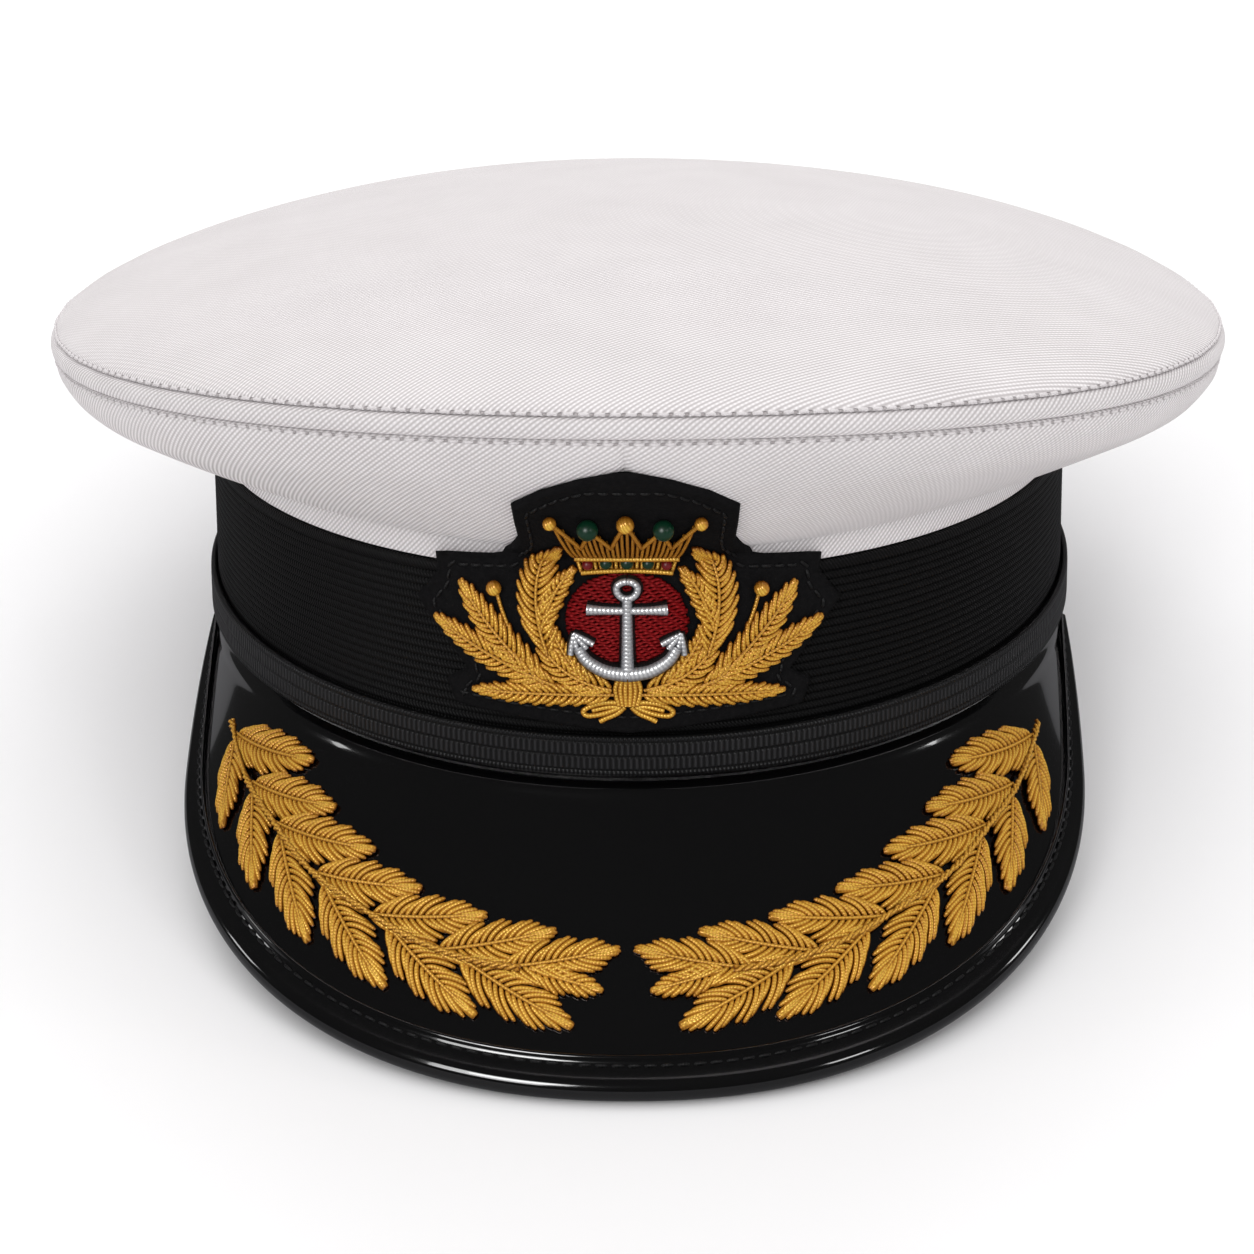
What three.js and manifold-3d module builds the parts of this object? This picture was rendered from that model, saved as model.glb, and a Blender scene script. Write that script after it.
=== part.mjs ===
// A naval officer's peaked cap: white cloth crown, ribbed black band, patent leather peak.
// Millimetres, +Z up, the front towards -Y, +X on the right of someone who looks at the front.
// The cap is drawn with the foot of its band level, and is then leant on its band and peak.

import * as THREE from 'three';
import { mergeVertices } from 'three/addons/utils/BufferGeometryUtils.js';
import Module from 'manifold-3d';

// Air between neighbouring pieces, and the flats that stand for a round
const clearance = 0.3;
const flatsRound = 48;

// Band: an oval wall with level cords
const bandHalfWidth = 87;
const bandHalfLength = 101;
const bandWall = 3;
const bandFrontHeight = 41.6;
const bandSideHeight = 36;
const bandBackHeight = 33;
const bandCordPitch = 3.0;
const bandCordDepth = 0.5;
const bandMargin = 2.4;

// Woven tape round the foot of the band
const strapFoot = 1.0;
const strapHeight = 8.3;
const strapThickness = 1.2;

// Crown: the edge is the seam under the welt
const crownHalfWidth = 118.3;
const crownHalfLength = 120.5;
const crownSetBack = -0.5;
const crownFrontHeight = 76.1;
const crownSideHeight = 54;
const crownBackHeight = 46;
const crownCloth = 1.6;
const crownSetIn = 0.8;
const crownStand = 4.5;
const domeRise = 17;
const domeFullness = 0.66;
const domeRings = 7;

// Corded welt round the crown
const weltHeight = 4.4;
const weltWidth = 3.2;
const weltProud = 0.8;

// Peak: the rim is the centre line of its rolled edge
const peakThickness = 2.2;
const peakReach = 39.6;
const peakDrop = 45.6;
const peakSideProud = 0.3;
const peakWidest = 85;
const peakEndBack = 131;
const peakEndTuck = 1.6;
const peakEndDrop = 3.6;
const peakSquareness = 2.2;
const peakFlats = 32;

// Rolled binding of the peak
const rollRadius = 2.6;
const bindingWall = 0.8;
const bindingFlange = 6.4;
const bindingSlack = 0.9;

// Badge patch of felt, and the height of what is sewn on it
const patchSeat = 0.6;
const patchStiffness = 6;
const patchThickness = 1.2;
const sewnSeat = 0.6;
const frondRise = 1.5;
const cushionHalfWidth = 11.3;
const cushionHalfHeight = 10;
const cushionClimb = 33.4;
const cushionRise = 1.2;
const anchorRise = 1.1;
const coronetThickness = 1.3;
const stoneSeat = 0.9;
const stoneRadius = 1.0;
const pearlRadius = 2.0;

// Leaf sprays on the peak
const leafHalfWidth = 4.4;
const leafRise = 1.6;
const stemHalfWidth = 0.9;

// Shares of the way out and up from the band to the edge of the crown, at the front and at a side
const crownSections = [
  { frontOut: 0.00, frontUp: 0.00, sideOut: 0.00, sideUp: 0.00 },
  { frontOut: 0.14, frontUp: 0.09, sideOut: 0.14, sideUp: 0.03 },
  { frontOut: 0.38, frontUp: 0.28, sideOut: 0.38, sideUp: 0.14 },
  { frontOut: 0.62, frontUp: 0.50, sideOut: 0.63, sideUp: 0.30 },
  { frontOut: 0.82, frontUp: 0.70, sideOut: 0.85, sideUp: 0.49 },
  { frontOut: 0.95, frontUp: 0.88, sideOut: 0.97, sideUp: 0.75 },
  { frontOut: 1.00, frontUp: 1.00, sideOut: 1.00, sideUp: 1.00 },
];

// Outline of the patch: climbs from the foot of the band at its sides and its middle, and half widths
const patchRows = [
  { climb: 13.2, middle: 9.8, half: 33.0 },
  { climb: 18.0, middle: 18.0, half: 34.5 },
  { climb: 20.7, middle: 20.7, half: 30.5 },
  { climb: 27.0, middle: 27.0, half: 35.2 },
  { climb: 33.6, middle: 33.6, half: 40.1 },
  { climb: 39.5, middle: 39.5, half: 35.9 },
  { climb: 43.4, middle: 43.4, half: 36.3 },
  { climb: 44.9, middle: 44.9, half: 23.6 },
  { climb: 48.8, middle: 48.8, half: 21.8 },
  { climb: 53.4, middle: 53.4, half: 20.3 },
  { climb: 59.5, middle: 59.5, half: 20.8 },
  { climb: 65.8, middle: 65.8, half: 21.2 },
  { climb: 70.6, middle: 70.6, half: 15.6 },
  { climb: 74.0, middle: 74.0, half: 8.6 },
  { climb: 76.2, middle: 76.2, half: 0.9 },
];

// Fronds of the wreath's right half, from the knot out
const wreathFronds = [
  { fromX: 3.2, fromClimb: 19.8, toX: 16.6, toClimb: 29.6, bow: -2.2, half: 2.7 },
  { fromX: 14.6, fromClimb: 26.6, toX: 12.5, toClimb: 52.8, bow: -3.0, half: 3.1 },
  { fromX: 15.6, fromClimb: 31.4, toX: 9.6, toClimb: 44.6, bow: -0.8, half: 1.7 },
  { fromX: 7.2, fromClimb: 21.4, toX: 14.2, toClimb: 33.0, bow: -0.9, half: 1.0 },
  { fromX: 15.6, fromClimb: 20.6, toX: 30.8, toClimb: 39.2, bow: -0.9, half: 2.7 },
  { fromX: 13.6, fromClimb: 20.2, toX: 35.7, toClimb: 31.2, bow: -0.8, half: 2.5 },
  { fromX: 3.0, fromClimb: 18.7, toX: 28.8, toClimb: 17.3, bow: 0.2, half: 2.1 },
];
const berry = { x: 24.3, climb: 38.6, radius: 1.5, stemX: 22.6, stemClimb: 29.6 };

// The wreath's tie: an upright wrap, and a loop and a tail to each side
const tieWrap = { fromX: 0, fromClimb: 22.0, toX: 0, toClimb: 16.2, bow: 0, half: 1.5 };
const tieLoops = [
  { fromX: 0.4, fromClimb: 16.9, toX: 8.4, toClimb: 14.4, bow: 0, half: 0.9 },
  { fromX: 0.2, fromClimb: 16.6, toX: 4.3, toClimb: 13.2, bow: -0.6, half: 0.9 },
];

// The coronet's right half: foot, belt and top of the metal at each distance from the middle
const coronetColumns = [
  { x: 0.0, low: 44.6, belt: 48.8, high: 62.4 },
  { x: 1.1, low: 44.6, belt: 48.8, high: 57.4 },
  { x: 2.9, low: 44.4, belt: 48.6, high: 53.8 },
  { x: 4.9, low: 44.2, belt: 48.4, high: 54.2 },
  { x: 6.8, low: 44.0, belt: 48.2, high: 59.6 },
  { x: 8.3, low: 43.8, belt: 48.0, high: 54.2 },
  { x: 9.8, low: 48.4, belt: 50.4, high: 53.8 },
  { x: 12.0, low: 56.2, belt: 57.4, high: 58.8 },
  { x: 13.6, low: 61.2, belt: 61.8, high: 62.6 },
];
const coronetBalls = [
  { x: 0.0, climb: 63.5, radius: 1.7 },
  { x: 13.8, climb: 63.0, radius: 1.3 },
];
const pearl = { x: 6.9, climb: 62.4 };
const middleStoneClimb = 47.4;
const stones = [
  { name: 'stone_red', x: 7.4, climb: 46.0, finish: 'redStone' },
  { name: 'stone_green', x: 4.5, climb: 46.3, finish: 'greenStone' },
];

// The anchor's straight and curved bars; the arms are mirrored
const anchorBars = [
  { fromX: 0, fromClimb: 23.0, toX: 0, toClimb: 38.9, bow: 0, half: 1.3 },
  { fromX: -7.0, fromClimb: 36.2, toX: 7.0, toClimb: 36.2, bow: 0, half: 0.9 },
];
const anchorArm = { fromX: 0, fromClimb: 23.6, toX: 9.4, toClimb: 29.6, bow: -1.4, half: 1.5 };
const anchorFluke = { fromX: 6.2, fromClimb: 29.2, toX: 10.6, toClimb: 26.6, bow: 0.2, half: 1.6 };
const anchorRing = { climb: 40.4, radius: 1.9, wire: 0.7 };

// Leaves of the left spray, as shares of the peak: along its rim, and up from its rim to the band
const sprayLeaves = [
  { fromAlong: 0.167, fromUp: 0.624, toAlong: 0.250, toUp: 0.815, wide: 0.95 },
  { fromAlong: 0.213, fromUp: 0.541, toAlong: 0.288, toUp: 0.695, wide: 0.95 },
  { fromAlong: 0.252, fromUp: 0.493, toAlong: 0.330, toUp: 0.616, wide: 0.95 },
  { fromAlong: 0.298, fromUp: 0.432, toAlong: 0.370, toUp: 0.547, wide: 0.95 },
  { fromAlong: 0.345, fromUp: 0.395, toAlong: 0.415, toUp: 0.512, wide: 0.95 },
  { fromAlong: 0.391, fromUp: 0.356, toAlong: 0.458, toUp: 0.492, wide: 0.95 },
  { fromAlong: 0.168, fromUp: 0.585, toAlong: 0.206, toUp: 0.234, wide: 0.90 },
  { fromAlong: 0.217, fromUp: 0.506, toAlong: 0.259, toUp: 0.208, wide: 1.00 },
  { fromAlong: 0.258, fromUp: 0.474, toAlong: 0.312, toUp: 0.194, wide: 1.05 },
  { fromAlong: 0.307, fromUp: 0.413, toAlong: 0.367, toUp: 0.180, wide: 1.05 },
  { fromAlong: 0.358, fromUp: 0.382, toAlong: 0.420, toUp: 0.176, wide: 1.05 },
  { fromAlong: 0.406, fromUp: 0.351, toAlong: 0.472, toUp: 0.182, wide: 1.05 },
  { fromAlong: 0.430, fromUp: 0.345, toAlong: 0.496, toUp: 0.441, wide: 0.95 },
  { fromAlong: 0.446, fromUp: 0.352, toAlong: 0.487, toUp: 0.302, wide: 0.60 },
];
const sprayStem = [
  { along: 0.153, up: 0.636 },
  { along: 0.204, up: 0.527 },
  { along: 0.250, up: 0.484 },
  { along: 0.290, up: 0.431 },
  { along: 0.336, up: 0.401 },
  { along: 0.378, up: 0.364 },
  { along: 0.414, up: 0.348 },
  { along: 0.440, up: 0.349 },
];

// Lobed outline of a leaf and plain outlines of a frond and a bar: shares of length, width and rise
const leafShape = [
  { run: 0.00, wide: 0.10, rise: 0.5 },
  { run: 0.24, wide: 0.92, rise: 1.0 },
  { run: 0.34, wide: 0.72, rise: 1.0 },
  { run: 0.58, wide: 1.00, rise: 1.0 },
  { run: 1.00, wide: 0.00, rise: 0.0 },
];
const frondShape = [
  { run: 0.00, wide: 0.35, rise: 0.7 },
  { run: 0.33, wide: 1.00, rise: 1.0 },
  { run: 0.70, wide: 0.90, rise: 1.0 },
  { run: 1.00, wide: 0.00, rise: 0.0 },
];
const barShape = [
  { run: 0.00, wide: 1.00, rise: 1.0 },
  { run: 0.50, wide: 0.80, rise: 1.0 },
  { run: 1.00, wide: 1.00, rise: 1.0 },
];

const wasm = await Module();
wasm.setup();

const finishes = {
  twill: new THREE.MeshStandardMaterial({ color: 0xe9e7ea, roughness: 0.85, metalness: 0 }),
  braid: new THREE.MeshStandardMaterial({ color: 0x0b0b0c, roughness: 0.75, metalness: 0 }),
  tape: new THREE.MeshStandardMaterial({ color: 0x0f0f11, roughness: 0.7, metalness: 0 }),
  patent: new THREE.MeshStandardMaterial({ color: 0x050506, roughness: 0.12, metalness: 0 }),
  felt: new THREE.MeshStandardMaterial({ color: 0x08080a, roughness: 0.95, metalness: 0 }),
  bullion: new THREE.MeshStandardMaterial({ color: 0xd9962a, roughness: 0.4, metalness: 0.8 }),
  silver: new THREE.MeshStandardMaterial({ color: 0xc9ccd2, roughness: 0.4, metalness: 0.8 }),
  redSilk: new THREE.MeshStandardMaterial({ color: 0x8e0a10, roughness: 0.6, metalness: 0 }),
  greenStone: new THREE.MeshStandardMaterial({ color: 0x0d5a33, roughness: 0.3, metalness: 0 }),
  redStone: new THREE.MeshStandardMaterial({ color: 0x9a1418, roughness: 0.3, metalness: 0 }),
};

// Mesh making

function weld(geometry) {
  const merged = mergeVertices(geometry, 1e-5);
  const index = merged.getIndex().array;
  const kept = [];
  for (let i = 0; i < index.length; i += 3) {
    const [a, b, c] = [index[i], index[i + 1], index[i + 2]];
    if (a !== b && b !== c && c !== a) kept.push(a, b, c);
  }
  merged.setIndex(kept);
  merged.computeVertexNormals();
  return merged;
}

function surface(points, triangles) {
  const geometry = new THREE.BufferGeometry();
  geometry.setAttribute('position', new THREE.Float32BufferAttribute(points.flatMap((p) => p.toArray()), 3));
  geometry.setIndex(triangles);
  return weld(geometry);
}

// Joins like sections, each a loop of points. An open loft is closed with the cap's triangles at both ends.
// Each four-sided patch folds along its shorter diagonal, so that neighbouring walls fold alike.
function loft(sections, cap = null) {
  const size = sections[0].length;
  const count = sections.length;
  const points = sections.flat();
  const triangles = [];
  const spans = cap ? count - 1 : count;
  for (let i = 0; i < spans; i += 1) {
    const here = i * size;
    const next = ((i + 1) % count) * size;
    for (let j = 0; j < size; j += 1) {
      const k = (j + 1) % size;
      const [a, b, c, d] = [here + j, next + j, next + k, here + k];
      if (points[a].distanceTo(points[c]) <= points[b].distanceTo(points[d])) {
        triangles.push(a, b, c, a, c, d);
      } else {
        triangles.push(a, b, d, b, c, d);
      }
    }
  }
  if (cap) {
    const last = (count - 1) * size;
    for (const [a, b, c] of cap) triangles.push(a, b, c, last + a, last + c, last + b);
  }
  return surface(points, triangles);
}

// A cap for a loop that runs out along one side of a wall and back along the other
function wallCap(size) {
  const cap = [];
  for (let i = 0; i < size / 2 - 1; i += 1) {
    const across = size - 1 - i;
    cap.push([i, i + 1, across - 1], [i, across - 1, across]);
  }
  return cap;
}

// Ovals and heights round the head: the angle is 0 at the front and a quarter turn at +X

function around(front, side, back, angle) {
  const forward = Math.cos(angle);
  return side + (front - back) / 2 * forward + ((front + back) / 2 - side) * forward ** 2;
}

function ovalPoint(halfWidth, halfLength, setBack, angle, out = 0) {
  const across = Math.sin(angle);
  const along = -Math.cos(angle);
  const normal = new THREE.Vector2(across / halfWidth, along / halfLength).normalize();
  return new THREE.Vector2(halfWidth * across + normal.x * out, setBack + halfLength * along + normal.y * out);
}

const bandOval = (angle, out = 0) => ovalPoint(bandHalfWidth, bandHalfLength, 0, angle, out);
const crownOval = (angle, out = 0) => ovalPoint(crownHalfWidth, crownHalfLength, crownSetBack, angle, out);
const bandHeight = (angle) => around(bandFrontHeight, bandSideHeight, bandBackHeight, angle);
const crownEdge = (angle) => around(crownFrontHeight, crownSideHeight, crownBackHeight, angle);
const roundAngles = Array.from({ length: flatsRound }, (_, i) => i * 2 * Math.PI / flatsRound);

// A ring whose section at each angle is a loop of (out from the oval, height)
function ring(oval, sectionAt) {
  return loft(roundAngles.map((angle) => sectionAt(angle).map(([out, height]) => {
    const flat = oval(angle, out);
    return new THREE.Vector3(flat.x, flat.y, height);
  })));
}

// Band and tape

function bandGeometry() {
  const cordFoot = strapFoot + strapHeight;
  const cordSpan = bandSideHeight - bandMargin - cordFoot;
  const cordCount = Math.round(cordSpan / bandCordPitch);
  return ring(bandOval, (angle) => {
    const height = bandHeight(angle);
    const pitch = (height - bandMargin - cordFoot) / cordCount;
    const section = [[-bandWall, height], [-bandWall, 0], [0, 0]];
    for (let cord = 0; cord < cordCount; cord += 1) {
      section.push([-bandCordDepth, cordFoot + cord * pitch]);
      section.push([0, cordFoot + (cord + 0.5) * pitch]);
    }
    section.push([-bandCordDepth, cordFoot + cordCount * pitch], [0, height - bandMargin / 2], [0, height]);
    return section;
  });
}

function strapGeometry() {
  const inside = clearance;
  const outside = clearance + strapThickness;
  const soft = strapThickness / 3;
  return ring(bandOval, () => [
    [inside, strapFoot + strapHeight],
    [inside, strapFoot],
    [outside - soft, strapFoot],
    [outside, strapFoot + soft],
    [outside, strapFoot + strapHeight - soft],
    [outside - soft, strapFoot + strapHeight],
  ]);
}

// Crown

// The cloth's outer line at one angle, from the top of the band to the seam under the welt
function crownLine(angle) {
  const foot = bandOval(angle, -crownSetIn);
  const edge = crownOval(angle);
  const footHeight = bandHeight(angle) + clearance;
  const standTop = footHeight + crownStand;
  const edgeHeight = crownEdge(angle) - clearance;
  const sideways = Math.sin(angle) ** 2;
  const line = [new THREE.Vector3(foot.x, foot.y, footHeight)];
  for (const row of crownSections) {
    const out = THREE.MathUtils.lerp(row.frontOut, row.sideOut, sideways);
    const up = THREE.MathUtils.lerp(row.frontUp, row.sideUp, sideways);
    const flat = foot.clone().lerp(edge, out);
    line.push(new THREE.Vector3(flat.x, flat.y, THREE.MathUtils.lerp(standTop, edgeHeight, up)));
  }
  return line;
}

// The same line moved along its own normals, which point away from the head
function offsetLine(line, distance) {
  const outward = line.at(-1).clone().sub(line[0]).setZ(0).normalize();
  const flat = line.map((p) => new THREE.Vector2(p.clone().sub(line[0]).dot(outward), p.z));
  return line.map((point, i) => {
    if (i === 0 || i === line.length - 1) return point.clone().addScaledVector(outward, distance);
    const before = flat[i].clone().sub(flat[i - 1]).normalize();
    const after = flat[i + 1].clone().sub(flat[i]).normalize();
    const mean = before.add(after).normalize();
    const moved = point.clone().addScaledVector(outward, mean.y * distance);
    moved.z -= mean.x * distance;
    return moved;
  });
}

function crownSideGeometry(side) {
  const seam = clearance / 2 / bandHalfWidth;
  const half = flatsRound / 2;
  const sections = [];
  for (let i = 0; i <= half; i += 1) {
    const share = side > 0 ? i / half : 1 - i / half;
    const line = crownLine(side * (seam + share * (Math.PI - 2 * seam)));
    sections.push([...offsetLine(line, -crownCloth).reverse(), ...line]);
  }
  return loft(sections, wallCap(sections[0].length));
}

function weltGeometry() {
  const steps = 7;
  const bulge = 1 / Math.cos(Math.PI / steps);
  return ring(crownOval, (angle) => Array.from({ length: steps }, (_, i) => {
    const turn = (i + 0.5) / steps * 2 * Math.PI;
    const out = weltProud - weltWidth / 2 * (1 + bulge * Math.sin(turn));
    const up = weltHeight / 2 * (1 + bulge * Math.cos(turn));
    return [out, crownEdge(angle) + up];
  }));
}

// A saddle that follows the edge of the crown, with a cushioned rise on it
function domePoint(angle, share, inset) {
  const foot = weltHeight + clearance;
  const middle = (crownFrontHeight + crownBackHeight) / 2;
  const across = share * Math.sin(angle);
  const forward = share * Math.cos(angle);
  const slope = (crownFrontHeight - crownBackHeight) / 2 * forward;
  const saddle = (middle - crownSideHeight) * across ** 2;
  const rise = (domeRise - inset) * Math.max(0, 1 - share ** 2) ** domeFullness;
  const x = (crownHalfWidth - inset) * across;
  const y = crownSetBack - (crownHalfLength - inset) * forward;
  return new THREE.Vector3(x, y, foot + middle + slope - saddle + rise);
}

function crownTopGeometry() {
  const shares = Array.from({ length: domeRings + 1 }, (_, i) => Math.sin(i / domeRings * Math.PI / 2));
  const outside = weltWidth / 2 - weltProud - crownCloth / 2;
  return loft(roundAngles.map((angle) => {
    const inner = shares.map((share) => domePoint(angle, share, outside + crownCloth));
    const outer = shares.map((share) => domePoint(angle, share, outside));
    return [...inner, ...outer.reverse()];
  }));
}

// Peak

class RimCurve extends THREE.Curve {
  getPoint(share) {
    const way = Math.abs(2 * share - 1);
    const widestHalf = bandHalfWidth + peakSideProud;
    const endHalf = bandHalfWidth - peakEndTuck;
    const power = 2 / peakSquareness;
    const turn = Math.min(way * 2, 1) * Math.PI / 2;
    const run = Math.max(way * 2 - 1, 0);
    const across = widestHalf * Math.sin(turn) ** power - (widestHalf - endHalf) * run ** 2;
    const rounded = peakWidest * (1 - Math.abs(Math.cos(turn)) ** power);
    const back = rounded + (peakEndBack - peakWidest) * run;
    const height = -peakDrop + (peakDrop - peakEndDrop) * back / peakEndBack;
    return new THREE.Vector3(Math.sign(share - 0.5) * across, back - bandHalfLength - peakReach, height);
  }
}

const rim = new RimCurve();
rim.arcLengthDivisions = 600;

// Mid surface of the peak: along runs 0 to 1 from end to end, share runs 0 to 1 from band to rim
function peakMid(along, share) {
  const endAngle = Math.acos((bandHalfLength + peakReach - peakEndBack) / bandHalfLength);
  const root = bandOval((2 * along - 1) * endAngle, -bandWall / 2);
  const start = new THREE.Vector3(root.x, root.y, -clearance - peakThickness / 2);
  return start.lerp(rim.getPointAt(along), share);
}

function peakFrame(along, share) {
  const step = 0.002;
  const left = peakMid(Math.max(0, along - step), share);
  const right = peakMid(Math.min(1, along + step), share);
  const outward = peakMid(along, 1).sub(peakMid(along, 0));
  const width = outward.length();
  const upward = outward.clone().cross(right.sub(left)).normalize();
  return { point: peakMid(along, share), upward, outward: outward.normalize(), width };
}

function peakPlace(along, share, lift) {
  const { point, upward } = peakFrame(along, share);
  return point.addScaledVector(upward, lift);
}

// The binding's flange narrows as the peak runs out under the band
function flangeShare(along) {
  const { width } = peakFrame(along, 1);
  return 1 - bindingFlange / (width + bindingFlange);
}

const peakColumns = Array.from({ length: peakFlats + 1 }, (_, i) => i / peakFlats);

function peakGeometry() {
  const sections = peakColumns.map((along) => {
    const { width } = peakFrame(along, 1);
    const flange = flangeShare(along);
    const rows = [0, flange / 3, flange * 2 / 3, flange, 1 - bindingSlack / width];
    const top = rows.map((share) => peakPlace(along, share, peakThickness / 2));
    const under = rows.map((share) => peakPlace(along, share, -peakThickness / 2));
    return [...under, ...top.reverse()];
  });
  return loft(sections, wallCap(sections[0].length));
}

function bindingGeometry() {
  const slot = peakThickness / 2 + bindingSlack / 2;
  const skin = slot + bindingWall;
  const roll = [-115, -75, -38, 0, 38, 75, 115].map((turn) => {
    const angle = THREE.MathUtils.degToRad(turn);
    return new THREE.Vector2(rollRadius * Math.cos(angle), rollRadius * Math.sin(angle));
  });
  const sections = peakColumns.map((along) => {
    const flange = flangeShare(along);
    const { point, upward, outward } = peakFrame(along, 1);
    const at = (out, up) => point.clone().addScaledVector(outward, out).addScaledVector(upward, up);
    return [
      peakPlace(along, flange, -skin),
      ...roll.map((p) => at(p.x, p.y)),
      peakPlace(along, flange, skin),
      peakPlace(along, flange, slot),
      at(0, slot),
      at(0, -slot),
      peakPlace(along, flange, -slot),
    ];
  });
  const flat = (out, up) => new THREE.Vector2(out, up);
  const back = -bindingFlange;
  const outline = [flat(back, -skin), ...roll, flat(back, skin), flat(back, slot),
    flat(0, slot), flat(0, -slot), flat(back, -slot)];
  return loft(sections, THREE.ShapeUtils.triangulateShape(outline, []));
}

// Grounds that reliefs lie on: a place at a lift above the ground, and millimetres per unit each way

function frontLine(angle) {
  const foot = bandOval(angle);
  const top = new THREE.Vector3(foot.x, foot.y, bandHeight(angle));
  return [new THREE.Vector3(foot.x, foot.y, 0), top, ...crownLine(angle).slice(1)];
}

function climbLine(line, climb) {
  let left = climb;
  for (let i = 1; i < line.length - 1; i += 1) {
    const length = line[i].distanceTo(line[i - 1]);
    if (left <= length) return line[i - 1].clone().lerp(line[i], left / length);
    left -= length;
  }
  const [from, to] = line.slice(-2);
  return from.clone().lerp(to, left / from.distanceTo(to));
}

// A spot on the front of the cap by its distance from the middle and its climb from the band's foot
function frontSpot(x, climb) {
  let reach = bandHalfWidth;
  for (let pass = 0; pass < 6; pass += 1) {
    const nudge = 1e-4;
    const angle = Math.asin(x / reach) || nudge;
    reach = climbLine(frontLine(angle), climb).x / Math.sin(angle);
  }
  const spot = climbLine(frontLine(Math.asin(x / reach)), climb);
  return spot;
}

const frontGround = {
  scale: () => new THREE.Vector2(1, 1),
  place(x, climb, lift) {
    const rightward = frontSpot(x + 1, climb).sub(frontSpot(x - 1, climb));
    const upward = frontSpot(x, climb + patchStiffness).sub(frontSpot(x, climb - patchStiffness));
    const outward = rightward.cross(upward).normalize();
    return frontSpot(x, climb).addScaledVector(outward, lift);
  },
};

const peakGround = {
  scale(along, up) {
    const step = 0.01;
    const sideways = peakMid(along + step, 1 - up).distanceTo(peakMid(along - step, 1 - up));
    return new THREE.Vector2(sideways / step / 2, peakFrame(along, 1).width);
  },
  place: (along, up, lift) => peakPlace(along, 1 - up, peakThickness / 2 + lift),
};

// Reliefs and slabs on a ground

function relief(ground, rows, lift) {
  const sections = rows.map((row, i) => {
    const before = rows[Math.max(0, i - 1)];
    const after = rows[Math.min(rows.length - 1, i + 1)];
    const scale = ground.scale(row.a, row.b);
    const run = new THREE.Vector2(after.a - before.a, after.b - before.b).multiply(scale).normalize();
    const side = new THREE.Vector2(-run.y, run.x).multiplyScalar(row.half).divide(scale);
    return [
      ground.place(row.a + side.x, row.b + side.y, lift),
      ground.place(row.a - side.x, row.b - side.y, lift),
      ground.place(row.a, row.b, lift + row.rise),
    ];
  });
  return loft(sections, [[0, 1, 2]]);
}

// A leaf, frond or bar along a bowed line between two spots
function blade(ground, from, to, bow, half, rise, shape, lift) {
  const scale = ground.scale((from.x + to.x) / 2, (from.y + to.y) / 2);
  const span = to.clone().sub(from).multiply(scale);
  const side = new THREE.Vector2(-span.y, span.x).normalize();
  return relief(ground, shape.map((station) => {
    const way = side.clone().multiplyScalar(4 * bow * station.run * (1 - station.run));
    const spot = from.clone().lerp(to, station.run).add(way.divide(scale));
    return { a: spot.x, b: spot.y, half: half * station.wide, rise: rise * station.rise };
  }), lift);
}

function slab(ground, grid, back, front) {
  const sections = grid.map((row) => [
    ...row.map((p) => ground.place(p.x, p.y, back)),
    ...row.map((p) => ground.place(p.x, p.y, front)).reverse(),
  ]);
  return loft(sections, wallCap(sections[0].length));
}

function fuse(geometries) {
  const solids = geometries.map((geometry) => new wasm.Manifold(new wasm.Mesh({
    numProp: 3,
    vertProperties: new Float32Array(geometry.getAttribute('position').array),
    triVerts: new Uint32Array(geometry.getIndex().array),
  })));
  const mesh = solids.reduce((joined, solid) => joined.add(solid)).getMesh();
  const geometry = new THREE.BufferGeometry();
  geometry.setAttribute('position', new THREE.BufferAttribute(mesh.vertProperties, 3));
  geometry.setIndex(new THREE.BufferAttribute(mesh.triVerts, 1));
  return weld(geometry);
}

function bead(ground, x, climb, radius, lift) {
  const centre = ground.place(x, climb, lift + radius);
  const ball = new THREE.OctahedronGeometry(radius, 1);
  for (const name of ['normal', 'uv']) ball.deleteAttribute(name);
  return weld(ball.translate(centre.x, centre.y, centre.z));
}

// Badge

const sewnLift = patchSeat + patchThickness + sewnSeat;

function patchGeometry() {
  const columns = [-1, -0.75, -0.5, -0.25, 0, 0.25, 0.5, 0.75, 1];
  const rows = patchRows.map((row) => columns.map((share) => new THREE.Vector2(
    share * row.half,
    THREE.MathUtils.lerp(row.middle, row.climb, Math.abs(share)),
  )));
  return slab(frontGround, rows, patchSeat, patchSeat + patchThickness);
}

function sewnBar(bar, side, rise, shape, lift = sewnLift) {
  const from = new THREE.Vector2(side * bar.fromX, bar.fromClimb);
  const to = new THREE.Vector2(side * bar.toX, bar.toClimb);
  return blade(frontGround, from, to, side * bar.bow, bar.half, rise, shape, lift);
}

function wreathGeometry(side) {
  const stem = { fromX: berry.stemX, fromClimb: berry.stemClimb, toX: berry.x, toClimb: berry.climb };
  return fuse([
    ...wreathFronds.map((frond) => sewnBar(frond, side, frondRise, frondShape)),
    sewnBar({ ...stem, bow: 0, half: berry.radius / 3 }, side, frondRise / 2, barShape),
    bead(frontGround, side * berry.x, berry.climb, berry.radius, sewnLift),
  ]);
}

function tieGeometry() {
  const loops = [1, -1].flatMap((side) => tieLoops.map((bar) => sewnBar(bar, side, frondRise, frondShape)));
  return fuse([sewnBar(tieWrap, 1, frondRise, barShape), ...loops]);
}

function cushionGeometry() {
  const steps = 10;
  const rows = Array.from({ length: steps + 1 }, (_, i) => {
    const turn = i / steps * Math.PI;
    const bulge = Math.sin(turn);
    const x = -cushionHalfWidth * Math.cos(turn);
    return { a: x, b: cushionClimb, half: cushionHalfHeight * bulge, rise: cushionRise * Math.sqrt(bulge) };
  });
  return relief(frontGround, rows, sewnLift);
}

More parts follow.
